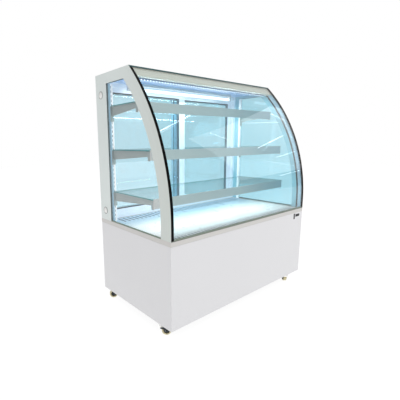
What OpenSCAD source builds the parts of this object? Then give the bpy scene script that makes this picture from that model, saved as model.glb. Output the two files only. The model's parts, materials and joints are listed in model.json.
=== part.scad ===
// Curved-glass refrigerated bakery display case on castors.
// Units are millimetres. X runs along the width, the customer's side faces -Y,
// +Z is up, and the origin is on the floor at the middle of the footprint.

/* [Cabinet] */
// Overall width of the cabinet
case_w = 1200; // [1160:10:1240]
// Overall depth of the cabinet
case_d = 660; // [650:5:670]
// Overall height, floor to roof
case_h = 1350; // [1340:5:1360]
// Height of the lower edge of the base panels above the floor
skirt_z = 60; // [58:1:62]
// Height of the top of the base, where the glass starts
base_top = 516; // [512:1:520]
// Height of the trim band round the top of the base
rim_h = 24; // [22:1:26]
// Thickness of the sheet-metal panels
sheet = 1.5; // [1.2:0.1:1.6]

/* [Glass] */
// Outer radius of the curved front glass
glass_r = 1100; // [1060:10:1140]
// Height at which the front glass starts to bend
bend_z = 578; // [570:1:586]
// Thickness of the front and side glass
glass_t = 6; // [5:0.5:6]
// Thickness of the shelf glass
shelf_t = 6; // [5:0.5:8]

/* [Side frames] */
// Thickness of the frame members across the case
frame_t = 14; // [14:0.5:16]
// Width of the curved front post
post_w = 68; // [60:1:72]
// Width of the upright at the rear
stile_w = 117; // [112:1:120]
// Height of the top rail
rail_h = 56; // [52:1:60]

/* [Shelves] */
// Height of the underside of the top shelf glass above the floor
shelf_z = 1170; // [1166:2:1174]
// Vertical distance between two shelves, a multiple of the slot pitch
shelf_gap = 240; // [240]
// Pitch of the slots in the uprights
slot_pitch = 24; // [24]

/* [Castors] */
// Wheel radius
wheel_r = 25; // [24:0.5:25]
// Distance from the swivel axis to the axle
trail = 22; // [20:1:23]

/* [Hidden] */
$fn = 48;
hw = case_w / 2;
hd = case_d / 2;
cy = -hd + glass_r;
cz = bend_z;
rim_z = base_top - rim_h;
seal_t = 1;
r_post = glass_r - glass_t - seal_t;      // outside of the curved posts
r_win = r_post - post_w;                  // edge of the side window
y_stile = hd - stile_w;                   // front of the rear uprights
x_in = hw - frame_t;                      // inner face of the side frames
s_in = hw - 38;                           // line that the shelf supports and the tub are set out from
roof_t = 36;
ceil_z = case_h - roof_t;
pan_x = hw - 1;                           // outer face of the side panels
pan_y = hd - 1;                           // outer face of the front panel
back_y = hd - 12;                         // outer face of the rear panels
deck_top = base_top - 4;
ch_x = hw - 22;                           // chassis half width
ch_y = hd - 22;                           // chassis half depth
ch_z = 72;                                // underside of the chassis tubes
cast_x = hw - 52;
cast_y = hd - 65;
door_t = 18;
door_ya = hd - 60;                        // front face of the inner door
door_yb = hd - 32;                        // front face of the outer door
door_x = x_in - 7;                        // closed edge of each door
door_lap = 44;                            // each door passes the middle by this
door_z0 = base_top + 3.1;
door_z1 = ceil_z - 14;
shelf_n = 3;
shelf_off = [7, 40, 74];                  // set-back of each rail behind the inside of the curved post
function rail_y(i) = arc_y(r_win, shelf_z - i * shelf_gap) + shelf_off[i];
rail_drop = 45;
slot_z0 = shelf_z - 15 - 26 * slot_pitch;
fan_x = 180;
fan_z = 432;
cond_x = 130;
cond_z = 222;
comp_x = 400;
comp_y = 20;

// colours
ivory = [0.83, 0.83, 0.80];
white_paint = [0.88, 0.88, 0.89];
alu = [0.78, 0.80, 0.82];
steel = [0.62, 0.66, 0.68];
aqua = [0.68, 0.87, 0.92, 0.45];

// ---------- helpers ----------
// extrude a (y, z) outline along x
module yz(x0, x1) { translate([x0, 0, 0]) rotate([90, 0, 90]) linear_extrude(x1 - x0) children(); }
// extrude an (x, z) outline along y
module xz(y0, y1) { translate([0, y1, 0]) rotate([90, 0, 0]) linear_extrude(y1 - y0) children(); }
// box from corner to corner
module bx(a, b) { translate(a) cube([b[0] - a[0], b[1] - a[1], b[2] - a[2]]); }
module both_sides() { children(); mirror([1, 0, 0]) children(); }
function arc_y(r, z) = z < cz ? cy - r : cy - sqrt(r * r - (z - cz) * (z - cz));
// everything behind a curved front line of radius r, as a (y, z) outline
module behind(r, yr, z0, z1) {
  zl = max(z0, cz);
  intersection() {
    translate([cy, cz]) circle(r = r, $fn = 360);
    translate([-hd - 20, zl]) square([yr + hd + 20, z1 - zl]);
  }
  if (z0 < cz) translate([cy - r, z0]) square([yr - cy + r, cz - z0]);
}
// a curved skin between two radii
module skin(r1, r0, z0, z1) {
  difference() { behind(r1, 60, z0, z1); behind(r0, 61, z0 - 1, z1 + 1); }
}
// rounded slot outline along y
module slot2(l, w) {
  square([w, l - w], center = true);
  for (s = [-1, 1]) translate([0, s * (l - w) / 2]) circle(d = w, $fn = 24);
}
function unit(v) = v / norm(v);
function side_of(d) = abs(d[2]) > 0.5 ? [1, 0, 0] : [0, 0, 1];
module frame_to(o, ex, ey, ez) {
  multmatrix([[ex[0], ey[0], ez[0], o[0]], [ex[1], ey[1], ez[1], o[1]], [ex[2], ey[2], ez[2], o[2]], [0, 0, 0, 1]]) children();
}
// a bar or tube of radius r along a list of points, square corners bent at radius b
module pipe(p, r, b) {
  n = len(p);
  for (i = [0 : n - 2]) {
    d = unit(p[i + 1] - p[i]);
    s = p[i] + (i > 0 ? b : 0) * d;
    e = p[i + 1] - (i < n - 2 ? b : 0) * d;
    ex = side_of(d);
    frame_to(s, ex, cross(d, ex), d) cylinder(r = r, h = norm(e - s), $fn = 32);
  }
  if (n > 2) for (i = [1 : n - 2]) {
    d1 = unit(p[i] - p[i - 1]);
    d2 = unit(p[i + 1] - p[i]);
    frame_to(p[i] - b * d1 + b * d2, -d2, d1, cross(-d2, d1))
      rotate_extrude(angle = 90, $fn = 64) translate([b, 0]) circle(r = r, $fn = 32);
  }
}
// straight tubes with brazed elbows, drawn as slightly larger balls
module brazed(p, r) {
  n = len(p);
  for (i = [0 : n - 2]) {
    d = unit(p[i + 1] - p[i]);
    ex = side_of(d);
    frame_to(p[i], ex, cross(d, ex), d) cylinder(r = r, h = norm(p[i + 1] - p[i]), $fn = 32);
  }
  for (i = [1 : n - 2]) translate(p[i]) sphere(r = r * 1.18, $fn = 32);
}
module dome(r, h) {
  rs = (r * r + h * h) / (2 * h);
  intersection() { translate([0, 0, h - rs]) sphere(r = rs, $fn = 64); cylinder(r = r, h = h); }
}

// ---------- chassis and castors ----------
module chassis_frame() {
  color(steel) {
    t = 2;
    for (s = [-1, 1]) {
      y0 = s > 0 ? ch_y - 30 : -ch_y;
      difference() {
        bx([-ch_x, y0, ch_z], [ch_x, y0 + 30, ch_z + 30]);
        bx([-ch_x - 1, y0 + t, ch_z + t], [ch_x + 1, y0 + 30 - t, ch_z + 30 - t]);
      }
    }
    // cross members, folded channels open downwards
    for (x = [-ch_x, -215, 185, ch_x - 30]) difference() {
      bx([x, -ch_y + 30, ch_z], [x + 30, ch_y - 30, ch_z + 30]);
      bx([x + t, -ch_y + 29, ch_z - 1], [x + 30 - t, ch_y - 29, ch_z + 30 - t]);
    }
    // corner gussets that take the castor plates
    for (sx = [-1, 1], sy = [-1, 1]) union() {
      x0 = sx > 0 ? ch_x - 110 : -ch_x;
      y0 = sy > 0 ? ch_y - 74 : -ch_y;
      bx([x0, y0, ch_z - 4], [x0 + 110, y0 + 74, ch_z]);
    }
    // floor plate of the machine compartment, with vent slots
    z0 = ch_z + 30;
    difference() {
      union() {
        bx([-ch_x + 26, -ch_y + 26, z0], [ch_x - 26, ch_y - 26, z0 + sheet]);
        for (y0 = [-ch_y + 26, ch_y - 26 - sheet]) bx([-ch_x + 30, y0, z0], [ch_x - 30, y0 + sheet, z0 + 14]);
      }
      for (i = [0 : 8]) translate([-150 + i * 24, -150, z0 - 1]) linear_extrude(sheet + 2) slot2(120, 12);
    }
    // corner uprights, folded angles
    for (sx = [0, 1], sy = [0, 1]) mirror([sx, 0, 0]) mirror([0, sy, 0]) difference() {
      bx([-ch_x, -ch_y, ch_z + 30], [-ch_x + 25, -ch_y + 25, rim_z - 8]);
      bx([-ch_x + 2.5, -ch_y + 2.5, ch_z + 31], [-ch_x + 26, -ch_y + 26, rim_z - 7]);
      bx([-ch_x + 2.5, -ch_y + 2.5, ch_z + 29], [-ch_x + 26, -ch_y + 26, rim_z]);
    }
    // top ring, angle with its flat leg on top
    difference() {
      bx([-ch_x, -ch_y, rim_z - 30], [ch_x, ch_y, rim_z - 5]);
      bx([-ch_x + 2.5, -ch_y + 2.5, rim_z - 31], [ch_x - 2.5, ch_y - 2.5, rim_z - 7.5]);
      bx([-ch_x + 25, -ch_y + 25, rim_z - 31], [ch_x - 25, ch_y - 25, rim_z]);
    }
  }
}

// rest angle of each castor about its swivel axis, and where it stands
function castor_pos(n) = n == "fl" ? [-cast_x, -cast_y, 0] : n == "fr" ? [cast_x - 48, -cast_y - 7, 0]
  : n == "rl" ? [-cast_x, cast_y, 0] : [cast_x, cast_y, 0];
function castor_rot(n) = n == "fl" ? 139.5 : n == "fr" ? 230 : n == "rl" ? 150 : 30;

module castor_plates() {
  color([0.80, 0.80, 0.78]) for (n = ["fl", "fr", "rl", "rr"]) translate(castor_pos(n)) {
    z = ch_z - 7;
    difference() {
      bx([-28, -28, z], [28, 28, z + 3]);
      for (a = [-20, 20], b = [-20, 20]) translate([a, b, z - 1]) cylinder(r = 3.2, h = 5, $fn = 32);
    }
    // race, king pin and its riveted end
    translate([0, 0, 61.6]) cylinder(r = 16, h = z - 61.6);
    translate([0, 0, 52]) cylinder(r = 5, h = 10);
    translate([0, 0, 50.4]) cylinder(r = 8, h = 2.9);
  }
}

module castor_fork(n) {
  color([0.86, 0.86, 0.84]) translate(castor_pos(n)) rotate([0, 0, castor_rot(n)]) difference() {
    union() {
      // crown: bearing cup and arch plate
      translate([0, 0, 53.5]) cylinder(r = 18, h = 8);
      bx([-16, -14, 53.5], [trail + 6, 14, 56]);
      // cheeks
      for (s = [-1, 1]) {
        y0 = s > 0 ? 11.5 : -14;
        xz(y0, y0 + 2.5) {
          translate([trail, wheel_r]) circle(r = 9);
          polygon([[-16, 56], [-16, 50], [trail - 7.5, wheel_r - 5], [trail + 7.5, wheel_r - 5], [trail + 9, wheel_r], [trail + 6, 56]]);
          if (n == "fl" || n == "fr") polygon([[trail + 4, 56], [trail + 8, 30], [trail + 33, 38], [trail + 33, 45], [trail + 24, 50]]);
        }
        // axle nuts
        translate([trail, s > 0 ? 14 : -18, wheel_r]) rotate([-90, 0, 0]) cylinder(r = 6, h = 4, $fn = 6);
      }
      // axle
      translate([trail, -14, wheel_r]) rotate([-90, 0, 0]) cylinder(r = 4, h = 28, $fn = 32);
      // brake pivot pin
      if (n == "fl" || n == "fr") translate([trail + 28, -14, 42]) rotate([-90, 0, 0]) cylinder(r = 2, h = 28, $fn = 24);
    }
    translate([0, 0, 50]) cylinder(r = 5.06, h = 13);
    translate([0, 0, 50]) cylinder(r = 8.2, h = 3.6);
  }
}

module castor_wheel(n) {
  color([0.86, 0.82, 0.66]) translate(castor_pos(n)) rotate([0, 0, castor_rot(n)]) translate([trail, 0, wheel_r]) rotate([-90, 0, 0])
    rotate_extrude($fn = 96) difference() {
      union() {
        // tyre with rounded shoulders
        translate([17, -7]) square([wheel_r - 17, 14]);
        translate([17, -10]) square([wheel_r - 20, 20]);
        for (s = [-1, 1]) translate([wheel_r - 3, s * 7]) circle(r = 3, $fn = 32);
        // web and hub
        translate([6, -4]) square([12, 8]);
        translate([0, -11]) square([7.5, 22]);
      }
      translate([-1, -12]) square([5.06, 24]);
    }
}

module castor_brake(n) {
  color([0.25, 0.26, 0.28]) translate(castor_pos(n)) rotate([0, 0, castor_rot(n)]) translate([trail + 28, 0, 42]) difference() {
    union() {
      translate([0, -10, 0]) rotate([-90, 0, 0]) cylinder(r = 4, h = 20, $fn = 32);
      rotate([0, -18, 0]) bx([2.8, -9.4, -1.5], [16, 9.4, 1.8]);
      rotate([0, -18, 0]) bx([13, -9.4, 1], [16, 9.4, 4.6]);
    }
    translate([0, -12, 0]) rotate([-90, 0, 0]) cylinder(r = 2.06, h = 24, $fn = 24);
  }
}

// ---------- base casing ----------
module front_panel() {
  color(white_paint) {
    bx([-pan_x, -pan_y, skirt_z], [pan_x, -pan_y + sheet, rim_z - 0.5]);
    for (z = [skirt_z, rim_z - 0.5 - sheet]) bx([-ch_x, -pan_y + sheet, z], [ch_x, -pan_y + 17, z + sheet]);
  }
}

module side_panel() {
  color(white_paint) {
    bx([-pan_x, -pan_y + sheet + 0.1, skirt_z], [-pan_x + sheet, hd - 1, rim_z - 0.5]);
    // front and rear returns
    for (y = [-pan_y + sheet + 0.1, back_y - 2 * sheet - 0.1])
      bx([-pan_x + sheet, y, skirt_z], [-pan_x + 18, y + sheet, rim_z - 0.5]);
    // top and bottom returns
    for (z = [skirt_z, rim_z - 0.5 - sheet]) bx([-pan_x + sheet, -ch_y, z], [-pan_x + 18, ch_y - 12, z + sheet]);
  }
}
module left_panel() { side_panel(); }
module right_panel() { mirror([1, 0, 0]) side_panel(); }

grille_top = 410;
cord_x = 545;
cord_z = 130;
module rear_grille() {
  y0 = back_y - sheet;
  color(white_paint) {
    difference() {
      bx([-pan_x + sheet + 0.1, y0, skirt_z], [pan_x - sheet - 0.1, back_y, grille_top]);
      for (bank = [-1, 0, 1], k = [0 : 11])
        translate([bank * 370, 0, 118 + k * 22]) bx([-150, y0 - 1, 0], [150, back_y + 1, 8]);
      for (x = [-hw + 12, hw - 12], z = [90, 380]) translate([x, back_y + 1, z]) rotate([90, 0, 0]) cylinder(r = 2.4, h = sheet + 2, $fn = 24);
      // cable outlet
      translate([cord_x, back_y + 1, cord_z]) rotate([90, 0, 0]) cylinder(r = 9, h = sheet + 2, $fn = 32);
    }
    // louvre hoods pressed outwards
    for (bank = [-1, 0, 1], k = [0 : 11]) translate([bank * 370, 0, 118 + k * 22])
      yz(-150, 150) polygon([[back_y, 8], [back_y, 12], [back_y + 5, 5], [back_y + 5, 3.5]]);
    for (z = [skirt_z, grille_top - sheet]) bx([-ch_x + 30, y0 - 12, z], [ch_x - 30, y0, z + sheet]);
  }
}

ctl_x = -300;
ctl_z = 440;
sw_x = [-215, -170];
module control_fascia() {
  y0 = back_y - sheet;
  color(white_paint) difference() {
    bx([-pan_x + sheet + 0.1, y0, grille_top + 0.5], [pan_x - sheet - 0.1, back_y, rim_z - 0.5]);
    bx([ctl_x - 35.5, y0 - 1, ctl_z - 14.5], [ctl_x + 35.5, back_y + 1, ctl_z + 14.5]);
    for (x = sw_x) bx([x - 11, y0 - 1, ctl_z - 15], [x + 11, back_y + 1, ctl_z + 15]);
    for (x = [-hw + 12, hw - 12]) translate([x, back_y + 1, ctl_z]) rotate([90, 0, 0]) cylinder(r = 2.4, h = sheet + 2, $fn = 24);
  }
}

module base_rim() {
  color(ivory) difference() {
    union() {
      bx([-hw, -hd, rim_z], [hw, hd, base_top]);
    }
    bx([-x_in, -hd + 30, rim_z + 6], [x_in, hd - 68, base_top + 1]);
    bx([-x_in + 20, -hd + 50, rim_z - 1], [x_in - 20, hd - 86, base_top + 1]);
    // hollow of the box section
    difference() {
      bx([-hw + 2, -hd + 2, rim_z + 2], [hw - 2, hd - 2, base_top - 2]);
      bx([-x_in - 2, -hd + 28, rim_z + 1], [x_in + 2, hd - 66, base_top]);
    }
  }
}

tub_z = 334;
module insulated_tub() {
  color([0.86, 0.87, 0.88]) difference() {
    union() {
      bx([-s_in + 12, -hd + 52, tub_z], [s_in - 12, hd - 55, rim_z - 5]);
      bx([-ch_x, -ch_y, rim_z - 5], [ch_x, ch_y, rim_z - 1]);
    }
    bx([-s_in + 47, -hd + 87, 365], [s_in - 47, hd - 90, rim_z]);
    // drain and pipe entries through the floor of the tub
    translate([-350, 150, 320]) cylinder(r = 10.1, h = 50);
    for (x = [452, 482]) translate([x, 120, 320]) cylinder(r = 5.6, h = 50, $fn = 32);
    // foam space between the outer and inner skins, with sleeves round the entries
    difference() {
      bx([-s_in + 13.2, -hd + 53.2, tub_z + 1.2], [s_in - 13.2, hd - 56.2, rim_z - 6.5]);
      bx([-s_in + 45.8, -hd + 85.8, 363.8], [s_in - 45.8, hd - 88.8, rim_z]);
      translate([-350, 150, 320]) cylinder(r = 12, h = 50);
      for (x = [452, 482]) translate([x, 120, 320]) cylinder(r = 7.2, h = 50, $fn = 32);
    }
  }
}

module deck_tray() {
  y0 = -hd + 31;
  y1 = hd - 69;
  color([0.95, 0.96, 0.97]) {
    translate([0, 0, deck_top - sheet]) linear_extrude(sheet) difference() {
      translate([-x_in + 1, y0]) square([2 * x_in - 2, y1 - y0]);
      // air slots along the back and the front
      for (i = [-17 : 17]) translate([i * 31, y1 - 52]) slot2(92, 12);
      for (i = [-22 : 22]) translate([i * 24, y0 + 22]) slot2(26, 8);
    }
    // turned-down edges
    difference() {
      bx([-x_in + 1, y0, rim_z + 6], [x_in - 1, y1, deck_top - sheet]);
      bx([-x_in + 2.5, y0 + 1.5, rim_z + 5], [x_in - 2.5, y1 - 1.5, deck_top]);
    }
  }
}

// ---------- refrigeration ----------
module finned_block(x0, x1, y0, y1, z0, z1, nf, ny, nz, r) {
  py = (y1 - y0) / ny;
  pz = (z1 - z0) / nz;
  for (i = [0 : nf - 1]) translate([x0 + i * (x1 - x0 - 1) / (nf - 1), 0, 0]) bx([0, y0, z0], [1, y1, z1]);
  // straight tubes and their return bends
  for (j = [0 : ny - 1], k = [0 : nz - 1])
    translate([x0 - 10, y0 + (j + 0.5) * py, z0 + (k + 0.5) * pz]) rotate([0, 90, 0]) cylinder(r = r, h = x1 - x0 + 20, $fn = 24);
  for (j = [0 : ny - 1], k = [0 : nz - 2]) {
    odd = k % 2;
    x = odd == 0 ? x0 - 10 : x1 + 10;
    translate([x, y0 + (j + 0.5) * py, z0 + (k + 1) * pz]) rotate([90, 0, 0]) rotate([0, 0, odd == 0 ? 90 : -90])
      rotate_extrude(angle = 180, $fn = 48) translate([pz / 2, 0]) circle(r = r, $fn = 24);
  }
}

module evaporator_coil() {
  color([0.74, 0.76, 0.78]) finned_block(-340, 340, -130, 20, 372, 476, 26, 2, 4, 4.5);
}

module fan_rotor(r, rh, w, bore, blades, pitch) {
  difference() {
    union() {
      cylinder(r = rh, h = w);
      intersection() {
        cylinder(r = r, h = w, $fn = 96);
        for (i = [0 : blades - 1]) rotate([0, 0, i * 360 / blades])
          translate([0, 0, w / 2]) rotate([pitch, 0, 0]) translate([rh - 4, -rh * 0.95, -0.8]) cube([r, rh * 1.9, 1.6]);
      }
    }
    translate([0, 0, -1]) cylinder(r = bore, h = w + 2, $fn = 32);
  }
}

evap_y = 60;
module evaporator_fan_plate() {
  color([0.80, 0.81, 0.83]) {
    difference() {
      bx([-s_in + 48, evap_y, 365], [s_in - 48, evap_y + 1.5, 486]);
      for (s = [-1, 1]) translate([s * fan_x, evap_y + 2, fan_z]) rotate([90, 0, 0]) cylinder(r = 50, h = 4, $fn = 96);
      // notches for the two pipes
      bx([394, evap_y - 1, 364], [406, evap_y + 3, 402]);
      bx([413, evap_y - 1, 456], [427, evap_y + 3, 487]);
    }
    for (s = [-1, 1]) translate([s * fan_x, 0, fan_z]) {
      // motor, shaft and the arms that hold it
      translate([0, evap_y + 60, 0]) rotate([90, 0, 0]) cylinder(r = 20, h = 32);
      translate([0, evap_y + 30, 0]) rotate([90, 0, 0]) cylinder(r = 2.5, h = 26, $fn = 32);
      for (a = [45, 135]) rotate([0, a, 0]) {
        bx([-56, evap_y + 32, -4], [56, evap_y + 35, 4]);
        for (e = [-56, 53]) bx([e, evap_y + 1.5, -4], [e + 3, evap_y + 35, 4]);
      }
    }
  }
}
module evap_fan(s) {
  color([0.20, 0.21, 0.23]) translate([s * fan_x, evap_y + 26, fan_z]) rotate([90, 0, 0])
    fan_rotor(46, 14, 20, 2.55, 5, 28);
}

unit_z = ch_z + 30 + sheet;
module compressor() {
  color([0.12, 0.13, 0.14]) translate([comp_x, comp_y, unit_z]) {
    difference() {
      bx([-95, -60, 14], [95, 60, 17]);
      for (x = [-82, 82], y = [-45, 45]) translate([x, y, 10]) cylinder(r = 7, h = 10, $fn = 32);
    }
    // rubber feet
    for (x = [-82, 82], y = [-45, 45]) translate([x, y, 0]) {
      difference() { cylinder(r = 11, h = 14, $fn = 32); translate([0, 0, -1]) cylinder(r = 4.2, h = 16, $fn = 24); }
    }
    // welded shell
    translate([0, 0, 17]) rotate_extrude($fn = 96) {
      square([62, 20]);
      translate([0, 20]) square([72, 78]);
      translate([0, 56]) square([75, 6]);
      translate([0, 98]) intersection() { translate([0, -72]) circle(r = 102, $fn = 128); square([72, 60]); }
    }
    // terminal box
    bx([62, -24, 50], [88, 24, 96]);
  }
}

module condenser_coil() {
  color([0.72, 0.70, 0.66]) translate([cond_x, 0, 0])
    finned_block(-140, 140, back_y - 76, back_y - 34, unit_z + 14, unit_z + 224, 24, 2, 6, 4.5);
}

module condenser_shroud() {
  y1 = back_y - 78;
  color([0.30, 0.31, 0.33]) translate([cond_x, 0, 0]) {
    difference() {
      bx([-140, y1 - 36, unit_z], [140, y1, unit_z + 228]);
      bx([-138, y1 - 34, unit_z + 4], [138, y1 + 1, unit_z + 226]);
      translate([0, y1 - 30, cond_z]) rotate([90, 0, 0]) cylinder(r = 100, h = 10, $fn = 128);
    }
    // motor on a three-armed bracket
    translate([0, y1 - 52, cond_z]) rotate([90, 0, 0]) cylinder(r = 34, h = 46);
    translate([0, y1 - 20, cond_z]) rotate([90, 0, 0]) cylinder(r = 4, h = 33, $fn = 32);
    for (a = [90, 210, 330]) translate([0, 0, cond_z]) rotate([0, a, 0]) {
      bx([30, y1 - 62, -6], [107, y1 - 59, 6]);
      bx([104, y1 - 62, -6], [107, y1 - 36, 6]);
    }
  }
}
module condenser_fan() {
  color([0.55, 0.57, 0.60]) translate([cond_x, back_y - 78 - 14, cond_z]) rotate([90, 0, 0])
    fan_rotor(94, 26, 32, 4.06, 5, 24);
}

module refrigerant_pipes() {
  zc = unit_z;
  yc = back_y - 76 + 10.5;
  z_top = zc + 14 + 210 - 17.5;
  color([0.74, 0.46, 0.30]) {
    // discharge line, compressor to condenser
    brazed([[comp_x - 30, comp_y + 40, zc + 134.5], [comp_x - 30, comp_y + 40, zc + 180], [comp_x - 30, yc, zc + 180], [comp_x - 30, yc, z_top], [cond_x + 150.2, yc, z_top]], 4);
    // liquid line, condenser to drier
    brazed([[cond_x + 150.2, yc, zc + 31.5], [cond_x + 170, yc, zc + 31.5], [cond_x + 170, -120, zc + 31.5], [255, -120, zc + 31.5], [255, -120, zc + 59.9]], 4);
    // filter drier
    translate([255, -120, zc + 60]) rotate_extrude($fn = 48) polygon([[0, 0], [4.5, 0], [11, 10], [11, 100], [4.5, 110], [0, 110]]);
    // capillary up into the tub
    brazed([[255, -120, zc + 170.1], [255, -120, zc + 200], [452, -120, zc + 200], [452, 120, zc + 200], [452, 120, 396], [400, 120, 396], [400, 0, 396], [400, -92.5, 396], [400, -92.5, 385], [350.2, -92.5, 385]], 1.6);
    // suction line back to the compressor
    brazed([[350.2, -17.5 , 463], [420, -17.5, 463], [420, 102, 463], [482, 102, 463], [482, 120, 463], [482, 120, zc + 150], [482, comp_y, zc + 150], [455, comp_y, zc + 150], [455, comp_y, zc + 133]], 5);
  }
}

module drain_pipe() {
  color([0.85, 0.86, 0.87]) difference() {
    union() {
      translate([-350, 150, 150]) cylinder(r = 10, h = 216);
      translate([-350, 150, 366]) cylinder(r = 16, h = 2.5);
    }
    translate([-350, 150, 149]) cylinder(r = 8, h = 222);
  }
}

module condensate_tray() {
  color([0.20, 0.21, 0.22]) difference() {
    bx([-480, 40, unit_z], [-200, 260, unit_z + 38]);
    bx([-477, 43, unit_z + 3], [-203, 257, unit_z + 40]);
  }
}

module junction_box() {
  color([0.75, 0.77, 0.78]) {
    difference() {
      union() {
        bx([-520, -230, unit_z], [-340, -110, unit_z + 80]);
        bx([-522, -232, unit_z + 80], [-338, -108, unit_z + 86]);
      }
      bx([-518.5, -228.5, unit_z + 1.5], [-341.5, -111.5, unit_z + 84]);
    }
    for (i = [0 : 3]) translate([-490 + i * 40, -110, unit_z + 40]) rotate([-90, 0, 0]) cylinder(r = 8, h = 12, $fn = 32);
    for (x = [-512, -348], y = [-222, -118]) translate([x, y, unit_z + 86]) cylinder(r = 4, h = 2, $fn = 24);
  }
}

module power_cord() {
  color([0.10, 0.10, 0.11]) {
    pipe([[cord_x, back_y - 60, cord_z], [cord_x, back_y + 7, cord_z], [cord_x, back_y + 7, 5], [330, back_y + 7, 5]], 3.5, 6.5);
    // strain relief, in two halves about the panel
    translate([cord_x, back_y, cord_z]) rotate([-90, 0, 0]) difference() { cylinder(r = 11, h = 0.4, $fn = 32); translate([0, 0, -1]) cylinder(r = 3.4, h = 3, $fn = 32); }
    translate([cord_x, back_y - 5, cord_z]) rotate([-90, 0, 0]) cylinder(r = 8.5, h = 5.2, $fn = 32);
    // plug body
    bx([284, back_y - 9, 0.6], [331, back_y + 11, 15]);
    for (s = [-1, 1]) bx([266, back_y + 1 + s * 6 - 0.8, 5], [284, back_y + 1 + s * 6 + 0.8, 11]);
  }
}

// ---------- controls at the rear ----------
btn_x = [ctl_x + 14, ctl_x + 23, ctl_x + 32];
module temperature_controller() {
  color([0.10, 0.11, 0.12]) difference() {
    union() {
      bx([ctl_x - 38, back_y, ctl_z - 17], [ctl_x + 38, back_y + 7, ctl_z + 17]);
      bx([ctl_x - 35, back_y - 40, ctl_z - 14], [ctl_x + 35, back_y, ctl_z + 14]);
    }
    // window recess
    bx([ctl_x - 33, back_y + 6, ctl_z - 11], [ctl_x + 7, back_y + 8, ctl_z + 11]);
    // button wells
    for (x = btn_x) bx([x - 3.6, back_y + 3, ctl_z - 5.1], [x + 3.6, back_y + 8, ctl_z + 5.1]);
  }
}
module button(i) {
  color([0.55, 0.57, 0.60]) bx([btn_x[i] - 3.5, back_y + 4.2, ctl_z - 5], [btn_x[i] + 3.5, back_y + 8, ctl_z + 5]);
}

module switch_bezels() {
  color([0.12, 0.12, 0.13]) for (x = sw_x) difference() {
    union() {
      bx([x - 13, back_y, ctl_z - 17], [x + 13, back_y + 2, ctl_z + 17]);
      bx([x - 10.8, back_y - 22, ctl_z - 14.8], [x + 10.8, back_y, ctl_z + 14.8]);
    }
    bx([x - 8.2, back_y - 14, ctl_z - 12.6], [x + 8.2, back_y + 3, ctl_z + 12.6]);
    translate([x - 9.6, back_y - 3, ctl_z]) rotate([0, 90, 0]) cylinder(r = 1.55, h = 19.2, $fn = 32);
  }
}
module rocker(i, c) {
  color(c) translate([sw_x[i], back_y - 3, ctl_z]) rotate([7, 0, 0]) {
    difference() {
      yz(-8, 8) intersection() {
        circle(r = 12.2, $fn = 96);
        polygon([[-7, -7], [-7, 7], [3.2, 12.2], [6.4, 12.2], [4.6, 0], [6.4, -12.2], [3.2, -12.2]]);
      }
    }
    for (s = [-1, 1]) translate([s > 0 ? 8 : -9.5, 0, 0]) rotate([0, 90, 0]) cylinder(r = 1.5, h = 1.5, $fn = 32);
  }
}

// ---------- upper frame and glass ----------
module side_frame() {
  color(ivory) difference() {
    union() {
      yz(-hw, -x_in) difference() {
        behind(r_post, hd, base_top, case_h);
        behind(r_win, y_stile, base_top - 1, case_h - rail_h);
      }
      // lip that covers the end of the curved glass
      yz(-hw, -hw + 2) skin(glass_r, r_post - 1, base_top, case_h);
    }
    // groove that holds the side glass
    yz(-hw + 3.8, -hw + 4.2 + glass_t) behind(r_win + 8.2, y_stile + 8.2, base_top - 1, case_h - rail_h + 8.2);
    // hollow of the box section, kept clear of the groove
    yz(-hw + 2, -x_in - 2) difference() {
      behind(r_post - 2, hd - 2, base_top + 2, case_h - 2);
      behind(r_win + 10.2, y_stile + 10.2, base_top - 1, case_h - rail_h + 10.2);
    }
  }
}
module side_glass() {
  color(aqua) yz(-hw + 4, -hw + 4 + glass_t) behind(r_win + 8, y_stile + 8, base_top + 1, case_h - rail_h + 8);
}

module front_glass() {
  color(aqua) yz(-hw + 2.2, hw - 2.2) skin(glass_r, glass_r - glass_t, base_top + 4, case_h);
}

module glass_gaskets() {
  color([0.06, 0.06, 0.07]) {
    both_sides() {
      // bonding strip between the curved glass and each post
      yz(-hw + 2.2, -hw + 13) skin(glass_r - glass_t, r_post, base_top + 4, case_h);
      // setting strip under the side glass, between post and upright
      bx([-hw + 4, cy - r_win + 0.1, base_top], [-hw + 4 + glass_t, y_stile - 0.1, base_top + 1]);
    }
    // seat of the front glass
    bx([-hw + 2.2, -hd + 0.5, base_top], [hw - 2.2, -hd + glass_t + seal_t, base_top + 4]);
    bx([-x_in + 0.2, -hd + glass_t + seal_t, base_top], [x_in - 0.2, -hd + 14, base_top + 7]);
  }
}

module header_panel() {
  z0 = case_h - 55;
  color(ivory) yz(-x_in + 0.2, x_in - 0.2) difference() {
    union() {
      skin(r_post, r_post - 3, z0, case_h);
      translate([arc_y(r_post - 1.5, z0), z0]) square([50, 3]);
      translate([arc_y(r_post - 1.5, case_h) - 3, case_h - 3]) square([20.5 - arc_y(r_post - 1.5, case_h) + 3 - 0.6, 3]);
    }
    // keep the flanges behind the outer curve
    difference() { translate([-200, z0 - 10]) square([260, 80]); behind(r_post, 100, z0 - 12, case_h + 12); }
  }
}

module roof_panel() {
  color(ivory) {
    difference() {
      bx([-x_in, 20, ceil_z], [x_in, hd - 0.5, case_h]);
      // foam space between the roof sheet and the ceiling
      bx([-x_in + 1.5, 21.5, ceil_z + 3.5], [x_in - 1.5, hd - 2, case_h - 1.5]);
    }
  }
}

tube_y = hd - 115;
module led_tube() {
  color([0.95, 0.97, 1.0]) {
    // batten fixed to the ceiling, its two sockets, and the tube between them
    bx([-460, tube_y - 13, ceil_z - 14], [460, tube_y + 13, ceil_z]);
    for (s = [-1, 1]) bx([s > 0 ? 441 : -456, tube_y - 11, ceil_z - 46], [s > 0 ? 456 : -441, tube_y + 11, ceil_z - 14]);
    translate([-441, tube_y, ceil_z - 34]) rotate([0, 90, 0]) cylinder(r = 8, h = 882);
  }
}

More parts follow.
